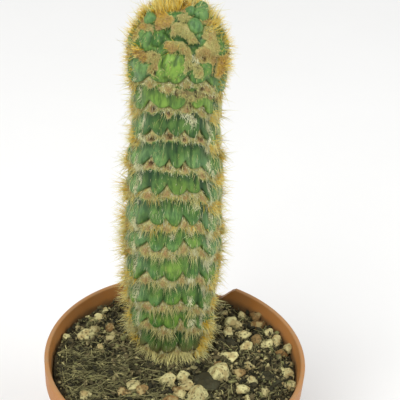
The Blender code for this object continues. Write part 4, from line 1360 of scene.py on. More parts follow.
def pot_material():
    """Thin terracotta-coloured plastic, faded in patches, with a painted highlight along its upper edge,
    dusted, and splashed with soil inside.
    """
    pot = bpy.context.scene.trichocereus_pot
    plastic, faded_and_highlight = tuple(pot.plastic), tuple(pot.faded_and_highlight)
    material, tree, shader = new_material("faded_plastic")
    place = tree.axes(tree.place())
    height = place["Z"]
    radius = tree.math("SQRT", tree.math("ADD", *(tree.times(place[axis], place[axis]) for axis in "XY")))
    inside = tree.times(tree.ramp(radius, INNER_REACH - EDGE_WIDTH, INNER_REACH, 1.0, 0.0),
                        tree.ramp(height, COLLAR_FOOT, COLLAR_FOOT + EDGE_WIDTH))
    splashed = tree.math("ADD", height, tree.times(tree.noise(160.0, 4.0), SPLASH_HEIGHT))
    soiled = tree.ramp(splashed, SOIL_TOP + SPLASH_HEIGHT, SOIL_TOP + 1.9 * SPLASH_HEIGHT, 0.75, 0.0)
    colour = tree.mottle(plastic, tree.mix(0.35, plastic, faded_and_highlight), 45.0, 0.8)
    # Painted highlight: the top of the rim is mixed into the faded colour
    edge = tree.ramp(height, POT_HEIGHT - 6 * EDGE_WIDTH, POT_HEIGHT - EDGE_WIDTH)
    colour = tree.mix(edge, colour, faded_and_highlight)
    colour = tree.tint(tree.dusted(colour, POT_DUST, 0.35, 260.0), POT_STAIN, inside, soiled)
    tree.join(tree.ramp(tree.noise(120.0), 0.3, 0.7, 0.42, 0.62), shader.inputs["Roughness"])
    finish_material(tree, shader, colour, tree.grain(900.0, 3.0), 0.12, 0.0002)
    return material


def soil_material():
    """Dark earth and brown bark, dusted where it faces up."""
    mix = bpy.context.scene.trichocereus_mix
    material, tree, shader = new_material("potting_mix", roughness=0.95)
    colour = tree.mix(tree.mask("tone"), tuple(mix.earth), tuple(mix.bark))
    colour = tree.dusted(tree.pored(colour, SOIL_PORES, 0.45, 700.0), SOIL_DUST, 0.12, 400.0)
    finish_material(tree, shader, colour, tree.grain(1500.0, 2.0), 0.8)
    return material


def crumb_material():
    """Earth, brown and olive bark and cream crumbs, by their tone."""
    mix = bpy.context.scene.trichocereus_mix
    material, tree, shader = new_material("bark_crumb", roughness=0.95)
    changes = ((0.25, 0.50, tuple(mix.bark)), *CRUMB_TONES)
    colour = tree.toned(tree.mask("tone"), tuple(mix.earth), changes)
    finish_material(tree, shader, tree.pored(colour, CRUMB_PORES, 0.5, 800.0), tree.grain(1500.0, 2.0), 0.8)
    return material


def fibre_material():
    """Dark to pale fibres, by their tone."""
    material, tree, shader = new_material("coir_fibre", roughness=0.85)
    fibre = tuple(bpy.context.scene.trichocereus_mix.fibre)
    colour = tree.mix(tree.mask("tone"), DARK_FIBRE, fibre)
    finish_material(tree, shader, tree.pored(colour, FIBRE_PORES, 0.4, 400.0))
    return material


def stone_material(name, body, other, stain, stain_strength, pits):
    """A porous stone: its own colour by its tone, stained spots, dark pits, and an underside darkened in
    patches by soil and painted shade.
    """
    material, tree, shader = new_material(name, roughness=0.95, specular=0.12)
    colour = tree.mix(tree.mask("tone"), body, other)
    colour = tree.pored(colour, STONE_PORES, 0.45, 330.0, 1.3)
    colour = tree.mix(tree.patches(260.0, 3.0, 0.47, 0.62, stain_strength), colour, stain)
    # Soil and painted shade: darker in patches where the stone faces down
    underside = tree.ramp(tree.facing_up(), -0.5, 0.35, 0.85, 0.0)
    colour = tree.tint(colour, STONE_SOIL_AND_SHADE, underside, tree.patches(260.0, 4.0, 0.3, 0.6))
    cells = tree.add("ShaderNodeTexVoronoi", {"Vector": tree.place(), "Scale": 620.0}).outputs["Distance"]
    pitted = tree.times(tree.ramp(cells, 0.14, 0.42, 1.0, 0.0), pits)
    height = tree.math("SUBTRACT", tree.grain(900.0, 3.0), pitted)
    finish_material(tree, shader, tree.mix(pitted, colour, STONE_PITS), height, 0.9)
    return material


def stone_materials():
    """A material for each kind of stone, made once."""
    mix = bpy.context.scene.trichocereus_mix
    materials = {}
    for kind, look in STONE_LOOKS.items():
        name, body = f"{kind}_rock", tuple(getattr(mix, kind))
        materials[kind] = bpy.data.materials.get(name) or stone_material(name, body, *look)
    return materials


def pot_inside(height):
    """The radius of the pot's inner wall at a height."""
    if height < COLLAR_FOOT:
        return blend(FOOT_RADIUS, NECK_RADIUS, height / COLLAR_FOOT) - WALL
    return blend(NECK_RADIUS - WALL, RIM_RADIUS - LIP_THICKNESS, (height - COLLAR_FOOT) / COLLAR_HEIGHT)


def pot_profile():
    """The pot's section, from its inner floor's middle up the inside, over the rim and under the base."""
    bead = 0.5 * LIP_THICKNESS
    lip_round = [
        (RIM_RADIUS - bead - bead * math.cos(turn), POT_HEIGHT - EDGE_ROUND + EDGE_ROUND * math.sin(turn))
        for turn in np.linspace(0.0, math.pi, LIP_POINTS)
    ]
    return [
        (0.0, FLOOR_TOP),
        (pot_inside(FLOOR_TOP) - EDGE_ROUND, FLOOR_TOP),
        (pot_inside(FLOOR_TOP + EDGE_ROUND), FLOOR_TOP + EDGE_ROUND),
        *((pot_inside(part * COLLAR_FOOT), part * COLLAR_FOOT) for part in (*WALL_PARTS, 1.0)),
        *lip_round,
        (RIM_RADIUS - COLLAR_DRAFT, COLLAR_FOOT + EDGE_ROUND),
        (RIM_RADIUS - COLLAR_BREAK, COLLAR_FOOT),
        (NECK_RADIUS, COLLAR_FOOT - COLLAR_UNDERCUT),
        *((blend(FOOT_RADIUS, NECK_RADIUS, part), part * COLLAR_FOOT) for part in reversed(WALL_PARTS)),
        (blend(FOOT_RADIUS, NECK_RADIUS, EDGE_ROUND / COLLAR_FOOT), EDGE_ROUND),
        (FOOT_RADIUS - EDGE_ROUND, 0.0),
        (FOOT_RADIUS - FOOT_WIDTH, 0.0),
        (FOOT_RADIUS - FOOT_WIDTH - FLOOR_RECESS, FLOOR_RECESS),
        (PAD_RADIUS + FLOOR_RECESS, FLOOR_RECESS),
        (PAD_RADIUS, 0.0),
        (0.0, 0.0),
    ]


def drain_cutter():
    """The drain holes in the pot's floor."""
    bm = bmesh.new()
    for index in range(DRAIN_COUNT):
        place = Matrix.Rotation(math.tau * index / DRAIN_COUNT, 4, "Z")
        place = place @ Matrix.Translation((DRAIN_CIRCLE, 0, FLOOR_RECESS))
        bmesh.ops.create_cone(bm, cap_ends=True, segments=DRAIN_STEPS, radius1=DRAIN_RADIUS,
                              radius2=DRAIN_RADIUS, depth=CUT_DEPTH, matrix=place)
    return new_object("drain_cutter", bm)


def break_cutter():
    """The piece that is missing from the rim, with rough sides."""
    bm = bmesh.new()
    verts = [bm.verts.new((along, RIM_RADIUS - BREAK_REACH, height)) for along, height in BREAK_OUTLINE]
    through = bmesh.ops.extrude_face_region(bm, geom=[bm.faces.new(verts)])["geom"]
    moved = [item for item in through if isinstance(item, bmesh.types.BMVert)]
    bmesh.ops.translate(bm, verts=moved, vec=BREAK_WAY)
    bmesh.ops.subdivide_edges(bm, edges=bm.edges, cuts=BREAK_CUTS, use_grid_fill=True)
    for vert in bm.verts:
        vert.co.z += BREAK_ROUGHNESS * noise.noise(vert.co / BREAK_GRAIN)
    turn = Matrix.Rotation(-math.radians(BREAK_ANGLE), 3, "Z")
    bmesh.ops.rotate(bm, verts=bm.verts, cent=(0, 0, 0), matrix=turn)
    bmesh.ops.recalc_face_normals(bm, faces=bm.faces)
    bmesh.ops.triangulate(bm, faces=bm.faces)
    return new_object("break_cutter", bm)


def apply_modifiers(obj):
    """Gives the object its evaluated mesh, and takes its modifiers away."""
    graph = bpy.context.evaluated_depsgraph_get()
    mesh = bpy.data.meshes.new_from_object(obj.evaluated_get(graph))
    obj.modifiers.clear()
    obj.data = mesh


def make_pot():
    bm = turned(pot_profile(), POT_STEPS)
    pot = new_piece("plastic_pot", bm, pot_material(), "terracotta_plastic", "pot")
    cutters = (drain_cutter(), break_cutter())
    for cutter in cutters:
        modifier = pot.modifiers.new(cutter.name, "BOOLEAN")
        modifier.operation = "DIFFERENCE"
        modifier.object = cutter
    apply_modifiers(pot)
    pot.data.shade_smooth()
    pot.data.set_sharp_from_angle(angle=SHARP_ANGLE)
    for cutter in cutters:
        bpy.data.objects.remove(cutter, do_unlink=True)


def soil_height(x, y):
    """The soil's top: a low mound round the stem, banks at the sides, and clods."""
    foot_x = STEM_FOOT.x + STEM_LEAN * (SOIL_TOP - STEM_FOOT.z)
    from_stem = math.hypot(x - foot_x, y - STEM_FOOT.y)
    mound = MOUND_RISE * math.exp(-max(0.0, from_stem - STEM_AT_SOIL) / MOUND_WIDTH)
    bank = BANK_RISE * float(smoothstep(*BANK_REACH, abs(x)))
    return SOIL_TOP + mound + bank + CLOD_RISE * noise.noise(Vector((x, y, 0.0)) / CLOD_SIZE)


def make_soil_bed():
    """The bed of the mix, with a rubbled top."""
    wall_top = pot_inside(SOIL_TOP) - GAP
    floor = FLOOR_TOP + GAP
    middle = 0.5 * (floor + SOIL_TOP)
    side = [
        (0.0, floor),
        (pot_inside(floor + EDGE_ROUND) - EDGE_ROUND - 2 * GAP, floor),
        (pot_inside(floor + 2 * EDGE_ROUND) - GAP, floor + 2 * EDGE_ROUND),
        (pot_inside(middle) - GAP, middle),
    ]
    top = [(wall_top * ring / SOIL_RINGS, SOIL_TOP) for ring in range(SOIL_RINGS, -1, -1)]
    bm = turned(side + top, SOIL_STEPS)
    tone = bm.verts.layers.float.new("tone")
    fine_share, fine_size = FINE_RUBBLE
    for vert in bm.verts:
        if vert.co.z > SOIL_TOP - GAP:
            fine = noise.noise(vert.co / (fine_size * RUBBLE_SIZE))
            rubble = noise.noise(vert.co / RUBBLE_SIZE) + fine_share * fine
            vert.co.z = soil_height(vert.co.x, vert.co.y) + RUBBLE_RISE * (rubble - RUBBLE_MIDDLE)
            vert[tone] = RUBBLE_TONES[0] + RUBBLE_TONES[1] * rubble
    new_piece("soil_bed", bm, soil_material(), "potting_mix", "potting_soil")


def spot_on_soil(chance, margin):
    """A random point of the soil's top, clear of the stem and the pot."""
    while True:
        reach = (pot_inside(SOIL_TOP) - margin) * math.sqrt(chance.random())
        turn = chance.uniform(0.0, math.tau)
        x, y = reach * math.cos(turn), reach * math.sin(turn)
        if math.hypot(x - STEM_FOOT.x, y - STEM_FOOT.y) > STEM_CLEAR + margin:
            return x, y


def on_soil(x, y, lift):
    """The matrix that moves a thing onto the soil at a point, raised by a lift."""
    return Matrix.Translation((x, y, soil_height(x, y) + lift))


def earthiness(x, y):
    """How pale the mix is at a point, from -1 to 1, in patches."""
    stretch, height = EARTH_STRETCH
    return noise.noise(Vector((stretch * x, stretch * y, height)) / EARTH_PATCH)


def fibrous(x, y):
    """How fibrous the mix is at a point: most at the front left."""
    return float(smoothstep(*FIBROUS_LEFT, x) * smoothstep(*FIBROUS_FRONT, y))


def lump_size(size, shape, chance):
    """A lump's three sides, from its length and the ranges of its other two sides' shares of that."""
    return (size, *(size * chance.uniform(*share) for share in shape))


def make_crumbs():
    """Crumbs of bark and earth, heaped."""
    chance = random.Random(21)
    small = lump_template(1)
    rocks = rock_templates(chance, 2, ROCK_SHAPES)
    crumbs = Batches(CRUMBS_PER_BATCH, "tone")
    for index in range(bpy.context.scene.trichocereus_mix.crumb_count):
        x, y = spot_on_soil(chance, CRUMB_MARGIN)
        large = index % LARGE_CRUMB_EVERY == 0
        size = chance.uniform(*(LARGE_CRUMB_SIZES if large else CRUMB_SIZES))
        place = on_soil(x, y, CRUMB_SUNK * size + chance.uniform(0.0, CRUMB_HEAP)) @ any_turn(chance)
        sides = lump_size(size, CRUMB_SHAPE, chance)
        tone = clamped(chance.random() + EARTH_CHANGE * earthiness(x, y))
        rock = chance.choice(rocks) if large else small
        add_lump(crumbs.open(), rock, place, sides, CRUMB_ROUGHNESS, index, tone)
    new_piece("bark_crumbs", crumbs.gathered(), crumb_material(), "potting_mix")


def lying(x, y, length, way):
    """The foot and the way of a fibre across a point, laid along the wall where it would run into that."""
    spot = Vector((x, y, 0.0))
    ends = spot - 0.5 * length * way, spot + 0.5 * length * way
    if max(end.xy.length for end in ends) > pot_inside(SOIL_TOP) - FIBRE_MARGINS[1]:
        way = Vector((-y, x, 0.0)).normalized()
        return spot - FIBRE_AT_WALL * length * way, way
    return ends[0], way


def make_fibres():
    """Coir and dry roots, lying most densely at the front left."""
    mix = bpy.context.scene.trichocereus_mix
    chance = random.Random(22)
    fibre = needle_template(3, 4, 0.5)
    fibres = Batches(FIBRES_PER_BATCH, "tone", "tip")
    while fibres.count < mix.fibre_count:
        x, y = spot_on_soil(chance, FIBRE_MARGINS[0])
        dense = fibrous(x, y)
        patch = noise.noise(Vector((x, FIBRE_STRETCH * y, 0.0)) / FIBRE_PATCH)
        if chance.random() > FIBRE_ANYWHERE + dense * float(smoothstep(*FIBRE_PATCHES, patch)):
            continue
        batch = fibres.open()
        length = FIBRE_LENGTHS[0] + FIBRE_LENGTHS[1] * chance.random() ** FIBRE_POWER
        turn = chance.gauss(*FIBRE_TURNS) if dense > FIBRE_COMBED else chance.uniform(0.0, math.pi)
        way = Vector((math.cos(turn), math.sin(turn), chance.uniform(*FIBRE_SLOPES))).normalized()
        start, way = lying(x, y, length, way)
        start.z = soil_height(x, y) + chance.uniform(*FIBRE_HEIGHTS)
        bend = Vector((-way.y, way.x, 0.0)) * length * chance.uniform(*FIBRE_BENDS)
        bend.z = -FIBRE_SAG * length
        radius = chance.uniform(*FIBRE_RADII)
        tone = chance.random() * float(smoothstep(*FIBRE_TONE_PATCHES, patch + 0.5 * earthiness(x, y)))
        if fibres.count % STALK_EVERY == 0:
            way, radius, tone = STALK_SHAPE[0] * way, STALK_SHAPE[1] * radius, 1.0
        add_strand(batch, fibre, start, way, length, radius, bend, tone)
    new_piece("coir_fibres", fibres.gathered(), fibre_material(), "potting_mix")


def make_grit():
    """Small cream stones, most of them on the right and round the large stones."""
    mix = bpy.context.scene.trichocereus_mix
    chance = random.Random(23)
    rocks = rock_templates(chance, 2, ROCK_SHAPES)
    grit = Batches(GRIT_PER_BATCH, "tone")
    off_fibres, off_left = GRIT_KEPT_OFF
    while grit.count < mix.grit_count:
        x, y = spot_on_soil(chance, GRIT_MARGIN)
        if chance.random() < off_fibres * fibrous(x, y) or (x < 0.0 and chance.random() < off_left):
            continue
        batch = grit.open()
        size = GRIT_SIZES[0] + GRIT_SIZES[1] * chance.random() ** GRIT_POWER
        place = on_soil(x, y, GRIT_SUNK * size) @ any_turn(chance)
        sides = lump_size(size, GRIT_SHAPE, chance)
        add_lump(batch, chance.choice(rocks), place, sides, GRIT_ROUGHNESS, grit.count, chance.random())
    new_piece("pumice_grit", grit.gathered(), stone_materials()["pumice"], "pumice")


def make_chips():
    """The smaller stones of each kind, half sunk in the mix."""
    chance = random.Random(24)
    rocks = rock_templates(chance, 4, CHIP_SHAPES)
    for kind, material in stone_materials().items():
        bm = new_batch("tone")
        for index, (chip_kind, x, y, *sides, turn) in enumerate(CHIPS):
            if chip_kind != kind:
                continue
            place = on_soil(x, y, CHIP_SUNK * sides[2]) @ Matrix.Rotation(math.radians(turn), 4, "Z")
            size = [CHIP_FULLNESS * side for side in sides]
            tone = 0.5 * chance.random()
            add_lump(bm, rocks[index % len(rocks)], place, size, CHIP_ROUGHNESS, index + CHIP_SEED, tone)
        new_piece(f"{kind}_chips", bm, material, kind)


def smooth_once(bm):
    bmesh.ops.smooth_vert(bm, verts=bm.verts, factor=0.5, use_axis_x=True, use_axis_y=True, use_axis_z=True)


def make_stones():
    """Each of the part's stones, subdivided, with facets broken off it and a fine grain."""
    materials = stone_materials()
    chance = random.Random(25)
    lump_rise, lump_scale, lump_spread = STONE_LUMPS
    grain_rise, grain_size = STONE_GRAIN
    for node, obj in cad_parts.items():
        kind = node.split("_")[0]
        if kind not in materials:
            continue
        bm = bmesh.new()
        bm.from_mesh(obj.data)
        bmesh.ops.remove_doubles(bm, verts=bm.verts, dist=MERGE_DISTANCE)
        low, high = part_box(node)
        middle, half = 0.5 * (low + high), 0.5 * (high - low)
        cuts = STONE_CUTS[0] if len(bm.faces) > FINE_STONE_FACES else STONE_CUTS[1]
        bmesh.ops.subdivide_edges(bm, edges=bm.edges, cuts=cuts, use_grid_fill=True, smooth=0.7)
        smooth_once(bm)
        planes = facet_planes(chance, STONE_BITE)
        for vert in bm.verts:
            place = Vector(a / b for a, b in zip(vert.co - middle, half))
            lump = 1.0 + lump_rise * noise.noise(place * lump_scale + middle / lump_spread)
            place = faceted(place * STONE_FULLNESS * lump, planes)
            vert.co = middle + Vector(a * b for a, b in zip(place, half))
        smooth_once(bm)
        for vert in bm.verts:
            vert.co += (vert.co - middle).normalized() * (grain_rise * noise.noise(vert.co / grain_size))
        bmesh.ops.recalc_face_normals(bm, faces=bm.faces)
        new_piece(f"{node}_stone", bm, materials[kind], kind, node)


def make_skin():
    """The stem's skin, ring by ring, with its felt and clefts in relief."""
    points, masks = stem_surface()
    levels, columns = points.shape[:2]
    top = DRUM_STEP * (levels - 1)
    side = [(DRUM_RADIUS, DRUM_STEP * level) for level in range(levels)]
    bm = turned([(0.0, 0.0), *side, (0.0, top)], columns)
    layers = {name: bm.verts.layers.float.new(name) for name in masks}
    for vert in bm.verts:
        level = round(vert.co.z / DRUM_STEP)
        if vert.co.xy.length < 0.5 * DRUM_RADIUS:
            vert.co = surface(0.0 if level == 0 else CROWN_RUN, 0.0, 0.0)
            column = 0
        else:
            column = round(math.atan2(vert.co.y, vert.co.x) / math.tau * columns) % columns
            vert.co = points[level, column]
        for name, layer in layers.items():
            vert[layer] = masks[name][level, column]
    bmesh.ops.recalc_face_normals(bm, faces=bm.faces)
    new_piece("stem_skin", bm, skin_material(), "cactus_skin", "stem")


def make_growths():
    """Round green growths between the tufts of the head."""
    bm = new_batch("fresh", "shade")
    ball = lump_template(4)
    fresh, shade = (bm.verts.layers.float[name] for name in ("fresh", "shade"))
    lump_rise, lump_scale = GROWTH_LUMPS
    for index, (angle, back, radius) in enumerate(GROWTHS):
        rise = CHIN_SWELL - GROWTH_SUNK * radius
        middle = Vector(surface(CROWN_RUN - back, math.radians(angle), rise))
        for vert in add_copy(bm, ball):
            lump = 1.0 + lump_rise * noise.noise(vert.co * lump_scale + Vector((9.0 * index, 0.0, 0.0)))
            vert.co = middle + vert.co * (2.0 * radius * lump)
            vert[fresh] = GROWTH_FRESH
            vert[shade] = GROWTH_SHADE
    new_piece("head_growths", bm, bpy.data.materials["skin_and_felt"], "cactus_skin", "stem")


def place_on_stem(run, angle, rise):
    """A point on the stem, and the outward, sideways and upward ways there."""
    base = Vector(surface(run, angle, rise))
    outward = (Vector(surface(run, angle, rise + 0.001)) - base).normalized()
    sideways = Vector((math.cos(angle), math.sin(angle), 0.0))
    return base, outward, sideways, outward.cross(sideways).normalized()


def areole_place(row, rib):
    """The run and angle of the middle of an areole's felt."""
    column = rib * COLUMNS_PER_RIB
    return LINES[row][column] - AREOLE_HEIGHT * FELTS[row][column], ANGLE[column]


def away_from_front(angle):
    return abs((math.degrees(angle) + 180.0) % 360.0 - 180.0)


def in_uneven_head(row, angle):
    return row > FIRST_HEAD_ROW and away_from_front(angle) < HEAD_ANGLES[0]


def aimed(ways, toss):
    """The unit way that a toss of three amounts gives along the outward, sideways and upward ways."""
    return sum((way * amount for way, amount in zip(ways, toss)), Vector()).normalized()


def add_spine(bm, needle, run, angle, toss, length, radius, tone, sag=0.0):
    """One spine from the stem's surface, turned up where it would run into the soil."""
    base, *ways = place_on_stem(run, angle, SPINE_LIFT)
    way = aimed(ways, toss)
    if base.z + way.z * length < SPINE_FLOOR:
        way = (way + Vector((0.0, 0.0, (SPINE_FLOOR - base.z) / length - way.z))).normalized()
    add_strand(bm, needle, base, way, length, radius, ways[2] * (-sag * length), clamped(tone))


def add_golden_spine(bm, needle, run, angle, look, index, fresh, chance):
    """A spine of a golden head at a side: a short one, or now and then a long one."""
    toss = [chance.uniform(*reach) for reach in look["toss"]]
    if index % look["long_every"] == 0:
        share, tone = chance.uniform(*look["long"]), chance.uniform(*look["long_tones"])
    else:
        share, tone = chance.uniform(*look["short"]), fresh * chance.uniform(*look["short_tones"])
    length = bpy.context.scene.trichocereus_plant.spine_length * share
    radius = SPINE_RADIUS * chance.uniform(*look["radii"])
    add_spine(bm, needle, run, angle, toss, length, radius, tone, SIDE_SAG)


def side_fan(bm, needle, row, rib, chance):
    """A side areole: a dense head of short golden spines, and a few long ones past them."""
    run, angle = areole_place(row, rib)
    size = max(SMALLEST_FAN, ROW_SIZES[row])
    fresh = float(smoothstep(*SIDE_FRESH_HEIGHTS, float(height_at(run))))
    seen = SEEN_SIDES[0] < away_from_front(angle) < SEEN_SIDES[1]
    full = bpy.context.scene.trichocereus_plant.spines_per_areole
    for index in range(round(full * (SEEN_SHARE if seen else 1.0))):
        at_run = run + chance.uniform(-1.0, 1.0) * SIDE_FAN_REACH[0] * size
        at_angle = angle + chance.uniform(-1.0, 1.0) * SIDE_FAN_REACH[1] * size / FAN_GIRTH
        add_golden_spine(bm, needle, at_run, at_angle, SIDE_FAN, index, fresh, chance)


def front_fan(bm, needle, row, rib, chance):
    """A front areole: a comb of straw spines that hang over the row below, shortest on the upper rows."""
    run, angle = areole_place(row, rib)
    size = max(SMALLEST_FAN, ROW_SIZES[row])
    low = 1.0 - float(smoothstep(*COMB_LOW_HEIGHTS, float(height_at(run))))
    lowest = 1.0 - float(smoothstep(*COMB_LOWEST_HEIGHTS, float(height_at(run))))
    few, many, more = COMB_COUNTS
    short, long, longer = COMB_LENGTHS
    skirt = SKIRT_LENGTH if row == 0 else 0.0
    reach = blend(short, long, low) + longer * lowest + skirt
    reach *= bpy.context.scene.trichocereus_plant.spine_length
    tones = GOLDEN_COMB_TONES if row in GOLDEN_COMB_ROWS else COMB_TONES
    spread, scatter = COMB_ASIDE
    for _ in range(round(blend(few, many, low) + more * lowest)):
        across = chance.uniform(-1.0, 1.0)
        at_run = run + chance.uniform(*COMB_RUNS) * COMB_REACH[0] * size
        at_angle = angle + across * COMB_REACH[1] * size / FAN_GIRTH
        toss = (chance.uniform(*COMB_OUT) + skirt, spread * across + chance.uniform(-scatter, scatter), -1.0)
        length = reach * chance.uniform(*COMB_UNEVEN)
        tone = chance.uniform(*tones)
        radius = SPINE_RADIUS * chance.uniform(*COMB_RADII)
        add_spine(bm, needle, at_run, at_angle, toss, length, radius, tone, COMB_SAG)


def add_side_tuft(bm, needle, degrees, middle, count, chance):
    """A golden tuft of a side: short spines that spread all ways, and longer straw ones between them."""
    for index in range(count):
        run = middle + chance.gauss(0.0, 1.0) * SIDE_SPREAD[0]
        angle = math.radians(degrees) + chance.gauss(0.0, 1.0) * SIDE_SPREAD[1] / float(radius_at(run))
        add_golden_spine(bm, needle, run, angle, SIDE_TUFT, index, 1.0, chance)


def add_tuft(bm, needle, degrees, run, half_count, chance):
    """A dense golden tuft of the head."""
    plant = bpy.context.scene.trichocereus_plant
    out, up, scatter = TUFT_TOSS
    for _ in range(2 * half_count):
        at_run = min(CROWN_RUN - CROWN_MARGIN, run + chance.gauss(0.0, 0.5) * TUFT_SPREAD)
        girth = max(SMALLEST_GIRTH, float(radius_at(at_run)))
        at_angle = math.radians(degrees) + chance.gauss(0.0, 0.5) * TUFT_SPREAD / girth
        toss = (out, chance.gauss(0.0, scatter), up + chance.gauss(0.0, scatter))
        length = plant.spine_length * chance.uniform(*TUFT_LENGTHS)
        radius = SPINE_RADIUS * chance.uniform(*TUFT_RADII)
        add_spine(bm, needle, at_run, at_angle, toss, length, radius, chance.uniform(*TUFT_TONES))


def beside_felt(run, angle, chance):
    """A run moved to the felt of the closest row at an angle."""
    column = int(np.argmin(np.abs((ANGLE - angle + math.pi) % math.tau - math.pi)))
    middles = [line[column] - 0.5 * felt[column] for line, felt in zip(LINES, FELTS)]
    closest = min(middles, key=lambda middle: abs(middle - run))
    return closest + chance.gauss(0.0, 1.0) * FRINGE_SPREAD


def add_fringe(bm, needle, angles, runs, count, up, lengths, tones, chance):
    """Spines scattered over a patch of the stem between two angles and two runs."""
    for _ in range(count):
        angle = math.radians(chance.uniform(*angles))
        toss = (chance.uniform(*FRINGE_OUT), chance.uniform(*FRINGE_ASIDE), up + chance.uniform(*FRINGE_UP))
        length = chance.uniform(*lengths)
        radius = SPINE_RADIUS * chance.uniform(*FRINGE_RADII)
        run = chance.uniform(*runs)
        if run < FRINGE_HEAD:
            run = beside_felt(run, angle, chance)
        add_spine(bm, needle, run, angle, toss, length, radius, chance.uniform(*tones))


def make_spines():
    """Fans of spines at every areole, the fringes of the sides and the golden tufts of the head."""
    chance = random.Random(31)
    needle = needle_template(3, 1)
    spines = Batches(1, "tone", "tip")
    for row in range(len(LINES)):
        for rib in range(len(RIB_ANGLES)):
            angle = ANGLE[rib * COLUMNS_PER_RIB]
            if in_uneven_head(row, angle) or height_at(areole_place(row, rib)[0]) < LOWEST_AREOLE:
                continue
            fan = side_fan if away_from_front(angle) > SIDE_FROM else front_fan
            fan(spines.open(), needle, row, rib, chance)
    for add, places in ((add_tuft, HEAD_TUFTS), (add_side_tuft, SIDE_TUFTS), (add_fringe, FRINGES)):
        for place in places:
            add(spines.open(), needle, *place, chance)
    new_piece("spines", spines.gathered(), spine_material(), "cactus_skin", "stem")


def strewn(weights, count, chance):
    """Places on the skin drawn by weight, as pairs of level and column."""
    picks = chance.choices(range(weights.size), weights.ravel(), k=count)
    return [divmod(pick, weights.shape[1]) for pick in picks]


def add_hairs(batches, hair, weights, count, look, chance):
    """Hairs strewn over the skin by weight, as their look says."""
    lengths, radii, out, aside, down, tones, gilding = look
    points, masks = stem_surface()
    for level, column in strewn(weights, count, chance):
        warm, edge, gold = (masks[name][level, column] for name in ("warm", "edge", "gold"))
        outward = Vector((math.sin(ANGLE[column]), -math.cos(ANGLE[column]), 0.0))
        sideways = Vector((math.cos(ANGLE[column]), math.sin(ANGLE[column]), 0.0))
        base = Vector(points[level, column]) + outward * HAIR_LIFT
        base += sideways * chance.gauss(0.0, HAIR_SCATTER[0])
        base.z += chance.gauss(0.0, HAIR_SCATTER[1])
        way = outward * chance.uniform(*out) + sideways * chance.gauss(0.0, aside)
        way.z -= chance.uniform(*down)
        length = chance.uniform(*lengths)
        tone = chance.uniform(*tones) + HAIR_WARMTH * warm - HAIR_PALENESS * edge
        tone = blend(tone, chance.uniform(*GILDED_TONES), gilding * gold)
        bend = Vector((0.0, 0.0, -HAIR_SAG * length)) - outward * (HAIR_CURL * length)
        add_strand(batches.open(), hair, base, way.normalized(), length, chance.uniform(*radii), bend, tone)


def within(limits, value):
    """1 between the two middle limits, eased to 0 at the first and the last."""
    return smoothstep(*limits[:2], value) * (1.0 - smoothstep(*limits[2:], value))


def make_wool():
    """Hairs that stand out of the felt and fray its edges, webs of old wool, and veils down the sides."""
    plant = bpy.context.scene.trichocereus_plant
    chance = random.Random(41)
    points, masks = stem_surface()
    x, y, height = (points[..., axis] for axis in range(3))
    girth = np.hypot(x - STEM_FOOT.x - STEM_LEAN * (height - STEM_FOOT.z), y - STEM_FOOT.y)
    girth = np.where(height < LOWEST_AREOLE, 0.0, girth)
    felted = (masks["felt"] * (1.0 - masks["shade"])) ** 2
    veiled = np.maximum(within(VEIL_ANGLES, AWAY), blend(*FRONT_VEIL, (1.0 - CREST) ** 2))
    veiled = veiled * within(VEIL_HEIGHTS, height)
    hairs = Batches(HAIRS_PER_BATCH, "tone", "tip")
    curl, straight = needle_template(3, 0), needle_template(3, 1)
    add_hairs(hairs, curl, girth * felted, plant.felt_hairs, FELT_HAIR, chance)
    add_hairs(hairs, straight, girth * masks["wax"] ** 2, plant.web_hairs, WEB_HAIR, chance)
    add_hairs(hairs, straight, girth * veiled, plant.veil_hairs, VEIL_HAIR, chance)
    new_piece("felt_hairs", hairs.gathered(), hair_material(), "cactus_skin")


def camera_matrix():
    """The camera's place and turn, from its pitch down and its roll."""
    aim = Vector((0.0, math.cos(CAMERA_PITCH), -math.sin(CAMERA_PITCH)))
    level = Vector((1.0, 0.0, 0.0))
    rise = Vector((0.0, math.sin(CAMERA_PITCH), math.cos(CAMERA_PITCH)))
    right = level * math.cos(CAMERA_ROLL) + rise * math.sin(CAMERA_ROLL)
    up = rise * math.cos(CAMERA_ROLL) - level * math.sin(CAMERA_ROLL)
    matrix = Matrix((right, up, -aim)).transposed().to_4x4()
    matrix.translation = CAMERA_PLACE
    return matrix


def make_camera():
    data = bpy.data.cameras.new("camera")
    data.sensor_width = SENSOR_WIDTH
    data.lens = SENSOR_WIDTH * FOCAL_PIXELS / PHOTO_SIZE
    camera = bpy.data.objects.new("camera", data)
    camera.matrix_world = camera_matrix()
    bpy.context.scene.collection.objects.link(camera)
    bpy.context.scene.camera = camera


def add_light(name, place, size, power):
    data = bpy.data.lights.new(name, "AREA")
    data.shape = "DISK"
    data.size = size
    data.energy = power
    light = bpy.data.objects.new(name, data)
    light.location = place
    light.rotation_euler = (LIT_MIDDLE - Vector(place)).to_track_quat("-Z", "Y").to_euler()
    bpy.context.scene.collection.objects.link(light)


def make_lights():
    """Large soft lights in a white tent."""
    stage = bpy.context.scene.trichocereus_stage
    for name, place, size, share in LIGHTS:
        add_light(name, place, size, share * stage.key_power)
    world = bpy.data.worlds.new("white_tent")
    world.use_nodes = True
    background = world.node_tree.nodes["Background"]
    background.inputs["Color"].default_value = (1.0, 1.0, 1.0, 1.0)
    background.inputs["Strength"].default_value = stage.sky_strength
    bpy.context.scene.world = world
    bpy.context.scene.view_settings.view_transform = "Standard"


def make_floor():
    bm = bmesh.new()
    bmesh.ops.create_circle(bm, cap_ends=True, segments=FLOOR_STEPS, radius=FLOOR_RADIUS)
    material, tree, shader = new_material("pale_floor", roughness=0.9)
    floor = tuple(bpy.context.scene.trichocereus_stage.floor)
    finish_material(tree, shader, tree.mottle(floor, tree.mix(0.04, floor, FLOOR_GREY), 6.0))
    new_object("floor", bm, material)


